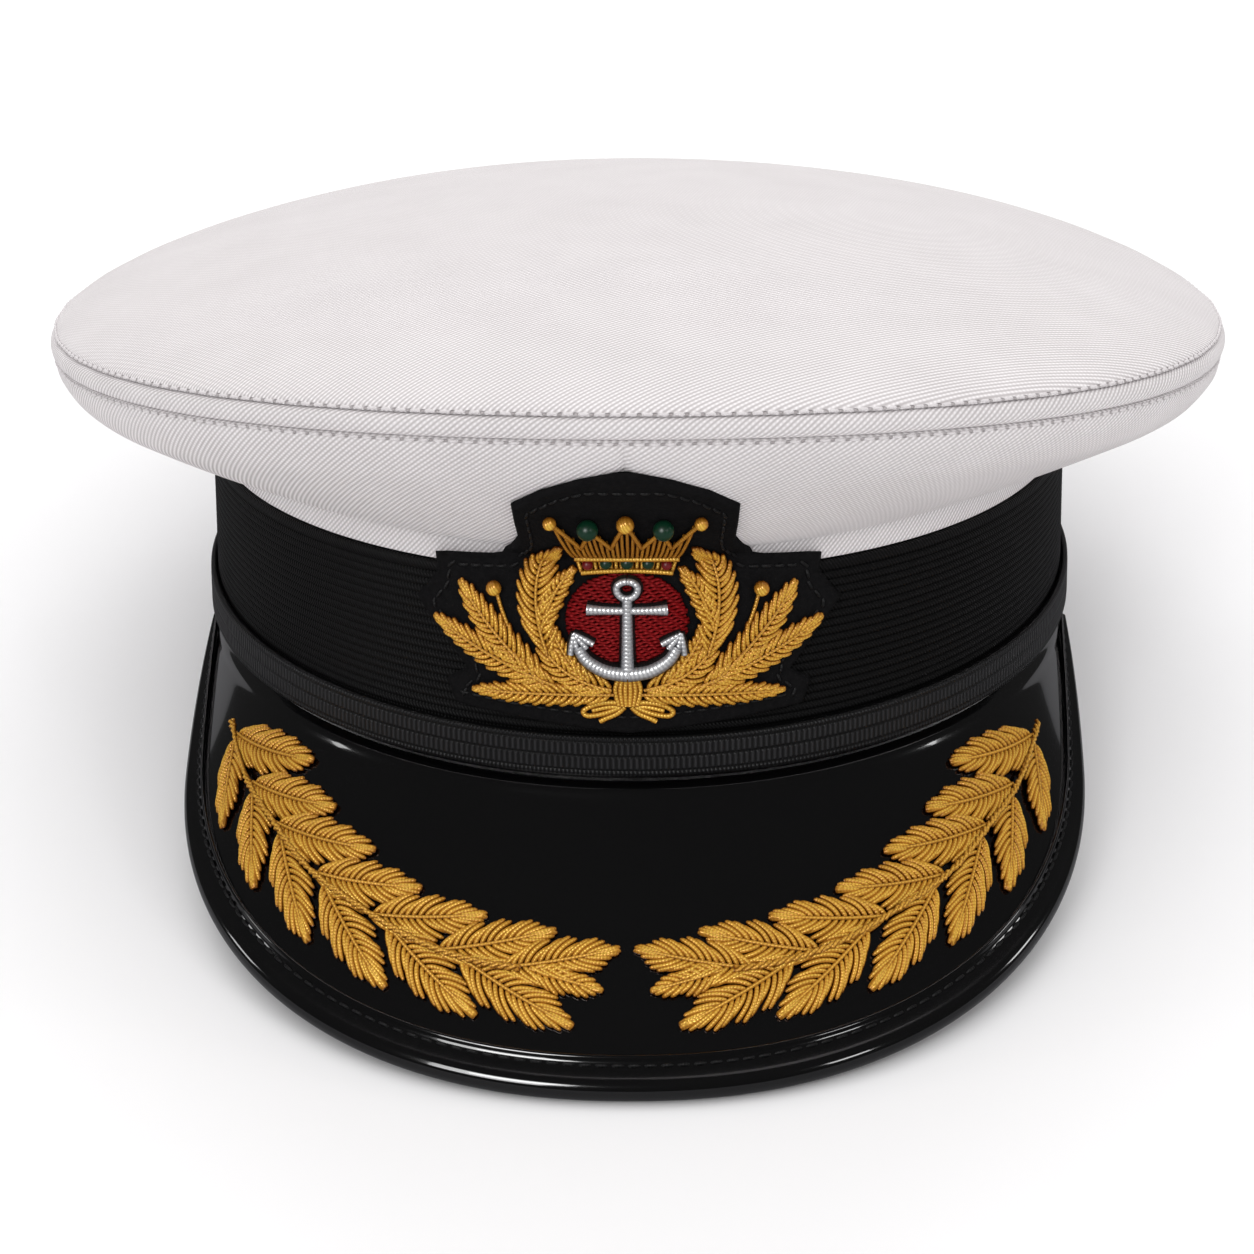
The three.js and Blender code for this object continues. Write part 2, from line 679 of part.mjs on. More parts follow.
function anchorGeometry() {
  const lift = sewnLift + cushionRise + clearance;
  const bars = anchorBars.map((bar) => sewnBar(bar, 1, anchorRise, barShape, lift));
  const arms = [1, -1].flatMap((side) => [
    sewnBar(anchorArm, side, anchorRise, barShape, lift),
    sewnBar(anchorFluke, side, anchorRise, frondShape, lift),
  ]);
  const steps = 5;
  const lap = 0.1;
  const rings = [0, Math.PI].map((start) => relief(frontGround, Array.from({ length: steps + 1 }, (_, i) => {
    const turn = start - lap + i / steps * (Math.PI + 2 * lap);
    const x = anchorRing.radius * Math.cos(turn);
    const climb = anchorRing.climb + anchorRing.radius * Math.sin(turn);
    return { a: x, b: climb, half: anchorRing.wire, rise: anchorRise };
  }), lift));
  return fuse([...bars, ...arms, ...rings]);
}

function coronetGeometry() {
  const left = coronetColumns.slice(1).map((column) => ({ ...column, x: -column.x })).reverse();
  const grid = [...left, ...coronetColumns].map(({ x, low, belt, high }) => (
    [high, (high + belt) / 2, belt, low].map((climb) => new THREE.Vector2(x, climb))
  ));
  const balls = coronetBalls.flatMap(({ x, climb, radius }) => (x === 0 ? [0] : [x, -x]).map((place) => (
    bead(frontGround, place, climb, radius, sewnLift)
  )));
  return fuse([slab(frontGround, grid, sewnLift, sewnLift + coronetThickness), ...balls]);
}

const stoneLift = sewnLift + coronetThickness + stoneSeat;
const stoneGeometry = (x, climb) => bead(frontGround, x, climb, stoneRadius, stoneLift);
const pearlGeometry = (side) => bead(frontGround, side * pearl.x, pearl.climb, pearlRadius, sewnLift);

// Sprays

function sprayGeometry(side) {
  const spot = (along, up) => new THREE.Vector2(side < 0 ? along : 1 - along, up);
  const lift = clearance + peakThickness / 8;
  const leaves = sprayLeaves.map((leaf) => blade(
    peakGround,
    spot(leaf.fromAlong, leaf.fromUp),
    spot(leaf.toAlong, leaf.toUp),
    0,
    leafHalfWidth * leaf.wide,
    leafRise,
    leafShape,
    lift,
  ));
  const stem = sprayStem.map(({ along, up }) => {
    const place = spot(along, up);
    return { a: place.x, b: place.y, half: stemHalfWidth, rise: leafRise };
  });
  return fuse([...leaves, relief(peakGround, stem, lift)]);
}

// Assembly

const cap = new THREE.Group();

function piece(name, geometry, finish) {
  const mesh = new THREE.Mesh(geometry, finish);
  mesh.name = name;
  cap.add(mesh);
}

piece('band', bandGeometry(), finishes.braid);
piece('band_strap', strapGeometry(), finishes.tape);
piece('crown_side_right', crownSideGeometry(1), finishes.twill);
piece('crown_side_left', crownSideGeometry(-1), finishes.twill);
piece('crown_welt', weltGeometry(), finishes.twill);
piece('crown_top', crownTopGeometry(), finishes.twill);
piece('peak', peakGeometry(), finishes.patent);
piece('peak_binding', bindingGeometry(), finishes.patent);
piece('spray_right', sprayGeometry(1), finishes.bullion);
piece('spray_left', sprayGeometry(-1), finishes.bullion);
piece('badge_patch', patchGeometry(), finishes.felt);
piece('wreath_right', wreathGeometry(1), finishes.bullion);
piece('wreath_left', wreathGeometry(-1), finishes.bullion);
piece('badge_cushion', cushionGeometry(), finishes.redSilk);
piece('badge_anchor', anchorGeometry(), finishes.silver);
piece('wreath_tie', tieGeometry(), finishes.bullion);
piece('coronet', coronetGeometry(), finishes.bullion);
piece('coronet_stone_middle', stoneGeometry(0, middleStoneClimb), finishes.greenStone);
for (const [side, hand] of [[1, 'right'], [-1, 'left']]) {
  piece(`coronet_pearl_${hand}`, pearlGeometry(side), finishes.greenStone);
  for (const { name, x, climb, finish } of stones) {
    piece(`coronet_${name}_${hand}`, stoneGeometry(side * x, climb), finishes[finish]);
  }
}

// The cap leans back on its band until the peak's rolled edge meets the floor
function restOnFloor(group) {
  const heel = new THREE.Vector3(0, bandHalfLength, 0);
  let lean = 0;
  const vertex = new THREE.Vector3();
  const places = group.getObjectByName('peak_binding').geometry.getAttribute('position');
  for (let i = 0; i < places.count; i += 1) {
    vertex.fromBufferAttribute(places, i).sub(heel);
    lean = Math.max(lean, Math.atan2(-vertex.z, -vertex.y));
  }
  group.rotation.x = -lean;
  const box = new THREE.Box3().setFromObject(group, true);
  const centre = box.getCenter(new THREE.Vector3());
  group.position.set(-centre.x, -centre.y, -box.min.z);
}

restOnFloor(cap);

const model = new THREE.Group();
model.add(cap);

export default model;
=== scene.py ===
import math

import bpy
import numpy as np
from mathutils import Matrix


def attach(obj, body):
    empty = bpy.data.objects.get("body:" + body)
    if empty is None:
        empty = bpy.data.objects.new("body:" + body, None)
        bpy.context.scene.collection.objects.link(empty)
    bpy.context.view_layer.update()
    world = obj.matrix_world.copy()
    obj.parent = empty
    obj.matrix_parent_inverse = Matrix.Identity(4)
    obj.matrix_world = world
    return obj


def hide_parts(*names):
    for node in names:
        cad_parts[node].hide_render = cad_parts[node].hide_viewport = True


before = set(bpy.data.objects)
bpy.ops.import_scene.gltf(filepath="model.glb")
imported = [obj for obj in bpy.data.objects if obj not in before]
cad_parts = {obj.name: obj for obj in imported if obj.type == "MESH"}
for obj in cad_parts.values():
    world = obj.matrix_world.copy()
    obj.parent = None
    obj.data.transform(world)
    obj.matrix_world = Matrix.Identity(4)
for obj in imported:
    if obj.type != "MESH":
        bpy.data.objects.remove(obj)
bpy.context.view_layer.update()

# The cap is drawn in millimetres with the foot of its band level and its front towards -Y.
# toRow leans it back on the floor as the CAD part is, in metres.
stand = {"lean": math.radians(11.27025), "back": 10.665, "up": 19.739}
seeds = np.random.default_rng(7)


def toRow(points):
    cosine = math.cos(stand["lean"])
    sine = math.sin(stand["lean"])
    x, y, z = np.moveaxis(np.asarray(points, float), -1, 0)
    leant = [x, y * cosine + z * sine + stand["back"], z * cosine - y * sine + stand["up"]]
    return np.stack(leant, -1) / 1000


def unit(vectors):
    return vectors / np.maximum(np.linalg.norm(vectors, axis=-1, keepdims=True), 1e-9)


def runOf(points):
    steps = np.linalg.norm(np.diff(points, axis=0), axis=-1)
    return np.concatenate([[0.0], np.cumsum(steps)])


def resampled(places, run, line):
    return np.stack([np.interp(places, run, line[:, axis]) for axis in range(3)], -1)


def pointsAt(places, runs, lines):
    return np.stack([resampled(*each) for each in zip(places, runs, lines)])


def smoothRows(rows, count):
    rows = np.asarray(rows, float)
    last = len(rows) - 1
    place = np.linspace(0, last, count)
    start = np.minimum(place.astype(int), last - 1)
    t = (place - start)[:, None]
    before = rows[np.maximum(start - 1, 0)]
    here = rows[start]
    there = rows[start + 1]
    after = rows[np.minimum(start + 2, last)]
    slopeHere = (there - before) / 2
    slopeThere = (after - here) / 2
    return (
        here * (2 * t**3 - 3 * t**2 + 1)
        + slopeHere * (t**3 - 2 * t**2 + t)
        + there * (3 * t**2 - 2 * t**3)
        + slopeThere * (t**3 - t**2)
    )


# Node trees: maths on sockets as Python expressions, every other node by one method


class Socket:
    def __init__(self, tree, socket):
        self.tree = tree
        self.socket = socket

    def maths(self, operation, *others):
        inputs = {index: item for index, item in enumerate([self, *others])}
        return self.tree.node("ShaderNodeMath", inputs, operation=operation)

    def __add__(self, other):
        return self.maths("ADD", other)

    def __sub__(self, other):
        return self.maths("SUBTRACT", other)

    def __mul__(self, other):
        return self.maths("MULTIPLY", other)

    def __truediv__(self, other):
        return self.maths("DIVIDE", other)

    def __rsub__(self, other):
        return self * -1.0 + other

    def wave(self, pitch):
        return (self * (2 * math.pi / pitch)).maths("SINE") * 0.5 + 0.5

    def fall(self, centre, reach):
        return (1.0 - (self - centre).maths("ABSOLUTE") / reach).maths("MAXIMUM", 0.0)

    def step(self, low, high):
        return ((self - low) / (high - low)).maths("MAXIMUM", 0.0).maths("MINIMUM", 1.0)


class Tree:
    def __init__(self, tree):
        self.tree = tree

    def join(self, value, socket):
        if isinstance(value, Socket):
            self.tree.links.new(value.socket, socket)
        else:
            socket.default_value = value

    def node(self, kind, inputs=None, output=0, **settings):
        made = self.tree.nodes.new(kind)
        for name, value in settings.items():
            setattr(made, name, value)
        for name, value in (inputs or {}).items():
            self.join(value, made.inputs[name])
        return Socket(self, made.outputs[output])


inputNames = {
    "colour": "Base Color",
    "specular": "Specular IOR Level",
    "coat": "Coat Weight",
    "coatRoughness": "Coat Roughness",
    "sheen": "Sheen Weight",
}


class Look(Tree):
    def __init__(self, name, **constants):
        self.material = bpy.data.materials.new(name)
        self.material.use_nodes = True
        super().__init__(self.material.node_tree)
        self.shader = self.tree.nodes["Principled BSDF"]
        for key, value in constants.items():
            self.give(key, value)

    def give(self, key, value):
        if isinstance(value, tuple):
            value = (*value, 1.0)
        self.join(value, self.shader.inputs[inputNames.get(key, key.capitalize())])

    def attribute(self, name):
        vector = self.node("ShaderNodeAttribute", output=1, attribute_name=name)
        return [self.node("ShaderNodeSeparateXYZ", {0: vector}, output=i) for i in range(3)]

    def noise(self, scale, detail=2.0):
        place = self.node("ShaderNodeTexCoord", output=3)
        return self.node("ShaderNodeTexNoise", {"Vector": place, "Scale": scale, "Detail": detail})

    def mix(self, share, low, high):
        ends = [end if isinstance(end, Socket) else (*end, 1.0) for end in (low, high)]
        inputs = {0: share, 6: ends[0], 7: ends[1]}
        return self.node("ShaderNodeMix", inputs, output=2, data_type="RGBA")

    def bump(self, height, strength=1.0):
        inputs = {"Strength": strength, "Distance": 0.001, "Height": height}
        self.give("normal", self.node("ShaderNodeBump", inputs))


# Meshes


def linked(name, data):
    made = bpy.data.objects.new(name, data)
    bpy.context.scene.collection.objects.link(made)
    return made


def meshObject(name, points, faces, attributes=None, edges=()):
    mesh = bpy.data.meshes.new(name)
    mesh.from_pydata(points, list(edges), faces)
    for key, values in (attributes or {}).items():
        values = np.asarray(values, np.float32)
        kind, field = ("FLOAT", "value") if values.ndim == 1 else ("FLOAT_VECTOR", "vector")
        mesh.attributes.new(key, kind, "POINT").data.foreach_set(field, values.ravel())
    mesh.shade_smooth()
    return linked(name, mesh)


def finishPiece(made, slot, *nodes):
    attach(made, "root")
    if nodes:
        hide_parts(*nodes)
    print(f"{made.name}: {len(made.data.polygons)} faces")


def loftPiece(name, sections, look, slot, **attributes):
    # sections is a grid of points, each row a loop round the piece, whose last point repeats its first
    rows, columns = sections.shape[:2]
    points = toRow(sections.reshape(-1, 3))
    index = np.arange(rows * columns).reshape(rows, columns)
    corners = [index[:-1, :-1], index[1:, :-1], index[1:, 1:], index[:-1, 1:]]
    faces = np.stack([corner.ravel() for corner in corners], -1)
    a, b, c, d = (points[faces[:, k]] - points.mean(0) for k in range(4))
    volume = np.einsum("ij,ij->", a, np.cross(b, c)) + np.einsum("ij,ij->", a, np.cross(c, d))
    if volume < 0:
        faces = faces[:, ::-1]
    flat = {key: values.reshape(-1, 3) for key, values in attributes.items()}
    made = meshObject(name, points.tolist(), faces.tolist(), flat)
    made.data.materials.append(look.material)
    finishPiece(made, slot, name)


def shell(outer, inner):
    # rows across the outside, back along the inside and round to the start again
    return np.concatenate([outer, inner[:, ::-1], outer[:, :1]], 1)


def planeVectors(first, second):
    first, second = np.broadcast_arrays(first, second)
    return np.stack([first, second, np.zeros_like(first)], -1)


# Geometry Nodes: tubes along paths, and stitches set out along a path


def nodeGroup(name, inputs):
    group = bpy.data.node_groups.new(name, "GeometryNodeTree")
    for label, kind in inputs.items():
        group.interface.new_socket(label, in_out="INPUT", socket_type="NodeSocket" + kind)
    group.interface.new_socket("Result", in_out="OUTPUT", socket_type="NodeSocketGeometry")
    tree = Tree(group)
    given = group.nodes.new("NodeGroupInput")
    return tree, {label: Socket(tree, given.outputs[label]) for label in inputs}


def endGroup(tree, result, material):
    real = tree.node("GeometryNodeRealizeInstances", {0: result})
    smooth = tree.node("GeometryNodeSetShadeSmooth", {0: real})
    dressed = tree.node("GeometryNodeSetMaterial", {0: smooth, "Material": material})
    out = tree.tree.nodes.new("NodeGroupOutput")
    tree.join(dressed, out.inputs[0])
    return tree.tree


def tubeGroup():
    inputs = {"Paths": "Geometry", "Sides": "Int", "Material": "Material"}
    tree, given = nodeGroup("tubes along paths", inputs)
    curves = tree.node("GeometryNodeMeshToCurve", {0: given["Paths"]})
    radius = tree.node("GeometryNodeInputNamedAttribute", {"Name": "thick"}, data_type="FLOAT")
    ring = tree.node("GeometryNodeCurvePrimitiveCircle", {"Resolution": given["Sides"], "Radius": 1.0})
    sweep = {0: curves, "Profile Curve": ring, "Scale": radius, "Fill Caps": True}
    tubes = tree.node("GeometryNodeCurveToMesh", sweep)
    return endGroup(tree, tubes, given["Material"])


def stitchGroup():
    inputs = {"Path": "Geometry", "Count": "Int", "Stitch": "Object", "Material": "Material"}
    tree, given = nodeGroup("stitches along a path", inputs)
    curve = tree.node("GeometryNodeMeshToCurve", {0: given["Path"]})
    spots = tree.node("GeometryNodeResampleCurve", {0: curve, "Count": given["Count"]})
    named = {"Name": "upward"}
    normal = tree.node("GeometryNodeInputNamedAttribute", named, data_type="FLOAT_VECTOR")
    axes = {0: normal, 1: tree.node("GeometryNodeInputTangent")}
    turn = tree.node("FunctionNodeAxesToRotation", axes, primary_axis="Z", secondary_axis="X")
    stitch = tree.node("GeometryNodeObjectInfo", {0: given["Stitch"]}, output=4)
    placed = {0: spots, "Instance": stitch, "Rotation": turn}
    return endGroup(tree, tree.node("GeometryNodeInstanceOnPoints", placed), given["Material"])


def withNodes(made, group, **values):
    modifier = made.modifiers.new("build", "NODES")
    modifier.node_group = group
    for item in group.interface.items_tree:
        if item.item_type == "SOCKET" and item.name in values:
            modifier[item.identifier] = values[item.name]
    bpy.context.view_layer.update()
    depsgraph = bpy.context.evaluated_depsgraph_get()
    mesh = bpy.data.meshes.new_from_object(made.evaluated_get(depsgraph), depsgraph=depsgraph)
    made.modifiers.clear()
    made.data = mesh
    return made


tubes = tubeGroup()
stitches = stitchGroup()


def readVectors(mesh, key):
    values = np.empty(len(mesh.vertices) * 3, np.float32)
    mesh.attributes[key].data.foreach_get("vector", values)
    return values.reshape(-1, 3)


def threadObject(name, paths, look, sides=6):
    # paths is a list of (points, thickness) or (points, thickness, outward direction). The third
    # number of spun says how far each spot of the thread turns outward; the thread looks paint shade
    # on the thread's sides and a highlight along its top from it.
    upward = (0.0, -0.95, 0.3)
    points = np.concatenate([path[0] for path in paths])
    thick = np.concatenate([np.broadcast_to(path[1], len(path[0])) for path in paths])
    run = np.concatenate([runOf(path[0]) for path in paths])
    tint = np.concatenate([np.full(len(path[0]), seeds.random()) for path in paths])
    starts = np.cumsum([0] + [len(path[0]) for path in paths])
    edges = [(i, i + 1) for a, b in zip(starts[:-1], starts[1:]) for i in range(a, b - 1)]
    facing = [np.broadcast_to(path[2] if len(path) > 2 else upward, path[0].shape) for path in paths]
    facing = unit(toRow(points + np.concatenate(facing)) - toRow(points))
    data = {"thick": thick / 1000, "spun": planeVectors(run, tint), "facing": facing}
    made = meshObject(name, toRow(points).tolist(), [], data, edges)
    withNodes(made, tubes, Sides=sides, Material=look.material)
    mesh = made.data
    spun = readVectors(mesh, "spun")
    normals = np.empty(spun.size, np.float32)
    mesh.vertex_normals.foreach_get("vector", normals)
    spun[:, 2] = np.einsum("ij,ij->i", normals.reshape(-1, 3), readVectors(mesh, "facing"))
    mesh.attributes["spun"].data.foreach_set("vector", spun.ravel())
    return made


def joinObjects(name, parts):
    with bpy.context.temp_override(active_object=parts[0], selected_editable_objects=parts):
        bpy.ops.object.join()
    parts[0].name = name
    return parts[0]


# Looks: pitches and places are in millimetres

weave = {"ridge": 0.85, "pick": 0.95, "slant": (0.62, 0.78), "hole": 0.62, "stitchIn": 0.42}
twill = Look("twill", roughness=0.82, specular=0.25, sheen=0.15)
weaveU, weaveV, _ = twill.attribute("weave")
seamU, seamV, seamPitch = twill.attribute("seam")
slantAcross, slantUp = weave["slant"]
ridge = (weaveU * slantAcross - weaveV * slantUp).wave(weave["ridge"])
pick = (weaveU * slantUp + weaveV * slantAcross).wave(weave["pick"])
alongStitch = (seamU / seamPitch).maths("FRACT") * seamPitch - seamPitch * 0.5
acrossStitch = seamV.fall(weave["stitchIn"], weave["stitchIn"])
# the stitch holes are painted shade: hole darkens the cloth's colour into dark dots at the stitches,
# and also sinks the bump
hole = (alongStitch.fall(0.0, weave["hole"]) * acrossStitch * 2.6).maths("MINIMUM", 1.0)
cloudy = twill.noise(60.0, 3.0)
weft = ridge * 0.6 + ridge * pick * 0.4
shade = (weft * 0.75 + cloudy * 0.14 + 0.23).maths("MINIMUM", 1.0) * (1.0 - hole * 0.75)
twill.give("colour", twill.mix(shade, (0.34, 0.305, 0.31), (0.92, 0.89, 0.90)))
twill.bump(weft * 0.13 + cloudy * 0.25 - hole * 0.5, 0.9)


def sewingThread(name, colour, rough, specular, pitch, height):
    look = Look(name, colour=colour, roughness=rough, specular=specular)
    look.bump(look.attribute("spun")[0].wave(pitch) * height)
    return look


whiteThread = sewingThread("white thread", (0.72, 0.69, 0.70), 0.7, 0.3, 0.5, 0.05)
blackThread = sewingThread("black thread", (0.005, 0.005, 0.0055), 0.5, 0.35, 0.6, 0.06)

braid = Look("braid", roughness=0.5, specular=0.12)
# The weave's third number is how far out a cord stands: cordShade paints shade in the gaps between
# cords and leaves their crests lighter
weaveU, weaveV, cordCrest = braid.attribute("weave")
tick = (weaveU + weaveV * 0.7).wave(0.75)
cordShade = (tick * 0.6 + 0.4) * cordCrest
braid.give("colour", braid.mix(cordShade, (0.0005, 0.0005, 0.0006), (0.007, 0.0067, 0.007)))
braid.bump(tick * 0.12 + braid.noise(1400.0) * 0.05)

# Two tiers of ribs, the upper one half a rib on, with a row of beads along each edge
tape = Look("tape", roughness=0.42, specular=0.32)
weaveU, weaveV, _ = tape.attribute("weave")
upper = weaveV.step(4.1, 4.3)
rib = (weaveU + upper * 0.55).wave(1.1)
tiers = weaveV.fall(2.75, 1.35).step(0.0, 0.25) + weaveV.fall(5.65, 1.35).step(0.0, 0.25)
beads = weaveU.wave(0.8) * (weaveV.fall(0.75, 0.5) + weaveV.fall(7.65, 0.5))
tapeHeight = rib * tiers + beads
# the colour follows tapeHeight: painted highlights on the ribs and beads, painted shade between them;
# tapeHeight is also the bump's height
tape.give("colour", tape.mix(tapeHeight, (0.0012, 0.0012, 0.0014), (0.024, 0.024, 0.026)))
tape.bump(tapeHeight * 0.34)

patent = Look("patent", colour=(0.001, 0.001, 0.0012), roughness=0.12, specular=0.5, coat=1.0)
patent.give("coatRoughness", 0.04)
patent.bump(patent.noise(55.0, 2.0) * 0.12 + patent.noise(500.0, 2.0) * 0.006, 0.6)

felt = Look("felt", roughness=0.95, specular=0.1)
felt.give("colour", felt.mix(felt.noise(900.0, 3.0), (0.002, 0.002, 0.0025), (0.008, 0.0075, 0.008)))
felt.bump(felt.noise(1500.0, 3.0) * 0.25)


def metalThread(name, dark, light, metal, rough, pitch):
    look = Look(name, metallic=metal, roughness=rough)
    run, tint, crest = look.attribute("spun")
    turns = run.wave(pitch)
    # crest is how far each spot of the thread faces outward: share paints shade on the thread's sides,
    # and paintedHighlight paints a highlight colour along its top
    crest = crest.step(0.1, 0.95)
    share = (turns * 0.2 + tint * 0.15 + look.noise(700.0) * 0.2 + 0.36) * crest
    paintedHighlight = crest.step(0.82, 1.0) * (turns * 0.6 + 0.2)
    highlightColour = tuple(min(1.0, part * 1.3 + 0.03) for part in light)
    look.give("colour", look.mix(paintedHighlight, look.mix(share, dark, light), highlightColour))
    look.bump(turns * 0.07)
    return look


gold = metalThread("gold thread", (0.20, 0.05, 0.002), (1.0, 0.50, 0.055), 0.25, 0.24, 0.62)
veinGold = metalThread("gold vein", (0.14, 0.036, 0.001), (0.95, 0.46, 0.05), 0.25, 0.3, 0.7)
silver = metalThread("silver thread", (0.08, 0.085, 0.10), (0.90, 0.91, 0.95), 0.6, 0.33, 0.8)
redSilk = metalThread("red silk", (0.02, 0.0003, 0.0006), (0.30, 0.002, 0.004), 0.0, 0.6, 1.1)
redSilk.give("specular", 0.06)
greenBead = Look("green bead", colour=(0.001, 0.032, 0.013), roughness=0.35, specular=0.5)
redBead = Look("red bead", colour=(0.16, 0.002, 0.004), roughness=0.35, specular=0.5)


# Ovals round the head: the angle is 0 at the front and a quarter turn at +X

band = {"halfWidth": 87.0, "halfLength": 101.0, "wall": 3.0}
band.update({"front": 41.6, "side": 36.0, "back": 33.0})
crown = {"halfWidth": 118.3, "halfLength": 120.5, "setBack": -0.5}
crown.update({"front": 76.1, "side": 54.0, "back": 46.0})
clearance = 0.3


def around(heights, angle):
    forward = np.cos(angle)
    mean = (heights["front"] + heights["back"]) / 2
    swing = (heights["front"] - heights["back"]) / 2
    return heights["side"] + swing * forward + (mean - heights["side"]) * forward**2


def oval(sizes, angle, out=0.0):
    across = np.sin(angle)
    along = -np.cos(angle)
    normal = unit(np.stack([across / sizes["halfWidth"], along / sizes["halfLength"]], -1))
    flat = [sizes["halfWidth"] * across, sizes.get("setBack", 0.0) + sizes["halfLength"] * along]
    return np.stack(flat, -1) + normal * np.asarray(out)[..., None]


def ringSections(sizes, angles, out, height):
    # out and height hold one row for each angle
    flat = oval(sizes, angles[:, None] + np.zeros_like(out), out)
    return np.concatenate([flat, height[..., None]], -1)


roundAngles = np.linspace(-math.pi, math.pi, 421)
ovalRun = runOf(oval(band, roundAngles))

# Band: level cords under a plain margin
cords = {"foot": 9.3, "count": 18, "depth": 0.5, "margin": 2.4, "flats": 6}


def bandSections():
    height = around(band, roundAngles)
    phase = np.linspace(0, cords["count"], cords["count"] * cords["flats"] + 1)
    bulge = np.sqrt(np.clip(1 - (2 * (phase % 1.0) - 1) ** 2, 0, 1))
    share = phase / cords["count"]
    lowOut = [-0.4, -0.1, -0.1, -0.1]
    lowHeight = [0.0, 0.4, 4.0, 8.8]
    topOut = [-0.35, -0.02, 0.0, -0.05, -0.35, -1.5, -2.7, -3.0, -3.0, -3.0, -2.7, -1.5, -0.4]
    topDown = [2.2, 1.8, 1.0, 0.35, 0.05, 0.0, 0.1, 0.6]
    out = np.concatenate([lowOut, cords["depth"] * (bulge - 1), topOut])
    cordSpan = height - cords["margin"] - cords["foot"]
    rise = cords["foot"] + share[None, :] * cordSpan[:, None]
    low = np.broadcast_to(lowHeight, (len(height), len(lowHeight)))
    top = height[:, None] - np.asarray(topDown)[None, :]
    inner = np.stack([height / 2, np.full_like(height, 0.5), *[np.zeros_like(height)] * 3], -1)
    up = np.concatenate([low, rise, top, inner], -1)
    # crest is painted shade for the braid: 0 in the gaps between cords, 1 on their crests
    crest = np.clip(1 + out / cords["depth"], 0, 1) ** 1.5 + np.zeros_like(up)
    weave = np.stack([ovalRun[:, None] + np.zeros_like(up), up, crest], -1)
    return ringSections(band, roundAngles, np.broadcast_to(out, up.shape), up), weave


bandGrid, bandWeave = bandSections()
loftPiece("band", bandGrid, braid, "braid", weave=bandWeave)

# Woven tape round the foot of the band: its section as places out from the band and up
strap = {"foot": 1.0}
strap["out"] = [0.3, 1.0, 1.32, 1.46, 1.5, 1.5, 1.5, 1.46, 1.32, 1.0, 0.3, 0.3]
strap["up"] = [0.0, 0.0, 0.12, 0.45, 1.2, 4.15, 7.1, 7.85, 8.18, 8.3, 8.3, 0.0]
strapShape = (len(roundAngles), len(strap["up"]))
strapOut = np.broadcast_to(strap["out"], strapShape)
strapUp = np.broadcast_to(strap["up"], strapShape)
strapGrid = ringSections(band, roundAngles, strapOut, strapUp + strap["foot"])
strapWeave = planeVectors(ovalRun[:, None], strapUp)
loftPiece("band_strap", strapGrid, tape, "tape", weave=strapWeave)
print("band done")

# Crown: shares of the way out and up from the band to the seam, at the front and at a side
crownRows = [
    (0.00, 0.00, 0.00, 0.00),
    (0.14, 0.09, 0.14, 0.03),
    (0.38, 0.28, 0.38, 0.14),
    (0.62, 0.50, 0.63, 0.30),
    (0.82, 0.70, 0.85, 0.49),
    (0.95, 0.88, 0.97, 0.75),
    (1.00, 1.00, 1.00, 1.00),
]
cloth = {"thickness": 1.6, "setIn": 0.8, "stand": 4.5, "rise": 17.0, "fullness": 0.66}
cloth.update({"seamGap": 0.01, "stitchPitch": 2.9, "stitchIn": 0.45, "furrow": 0.5})
capMiddle = np.array([0.0, 0.0, 40.0])
crownShape = smoothRows(crownRows, 61)


def crownLines(angles):
    sideways = (np.sin(angles) ** 2)[:, None]
    foot = oval(band, angles, np.full_like(angles, -cloth["setIn"]))
    edge = oval(crown, angles)
    footHeight = around(band, angles) + clearance
    standTop = (footHeight + cloth["stand"])[:, None]
    edgeHeight = (around(crown, angles) - clearance)[:, None]
    frontOut, frontUp, sideOut, sideUp = crownShape.T
    out = frontOut * (1 - sideways) + sideOut * sideways
    up = frontUp * (1 - sideways) + sideUp * sideways
    flat = foot[:, None] + (edge - foot)[:, None] * out[..., None]
    lines = np.concatenate([flat, (standTop + (edgeHeight - standTop) * up)[..., None]], -1)
    start = np.concatenate([foot, footHeight[:, None]], -1)[:, None]
    halfway = (lines[:, :1] + start)[..., 2:] / 2
    return np.concatenate([start, start * [1, 1, 0] + halfway * [0, 0, 1], lines], 1)


def gridNormals(grid, outwardFrom):
    across = np.gradient(grid, axis=0)
    along = np.gradient(grid, axis=1)
    normals = unit(np.cross(across, along))
    away = np.einsum("ijk,ijk->ij", normals, grid - outwardFrom)
    return normals if away.mean() > 0 else -normals


def furrow(fromEdge):
    return np.exp(-(((fromEdge - cloth["stitchIn"]) / cloth["furrow"]) ** 2))


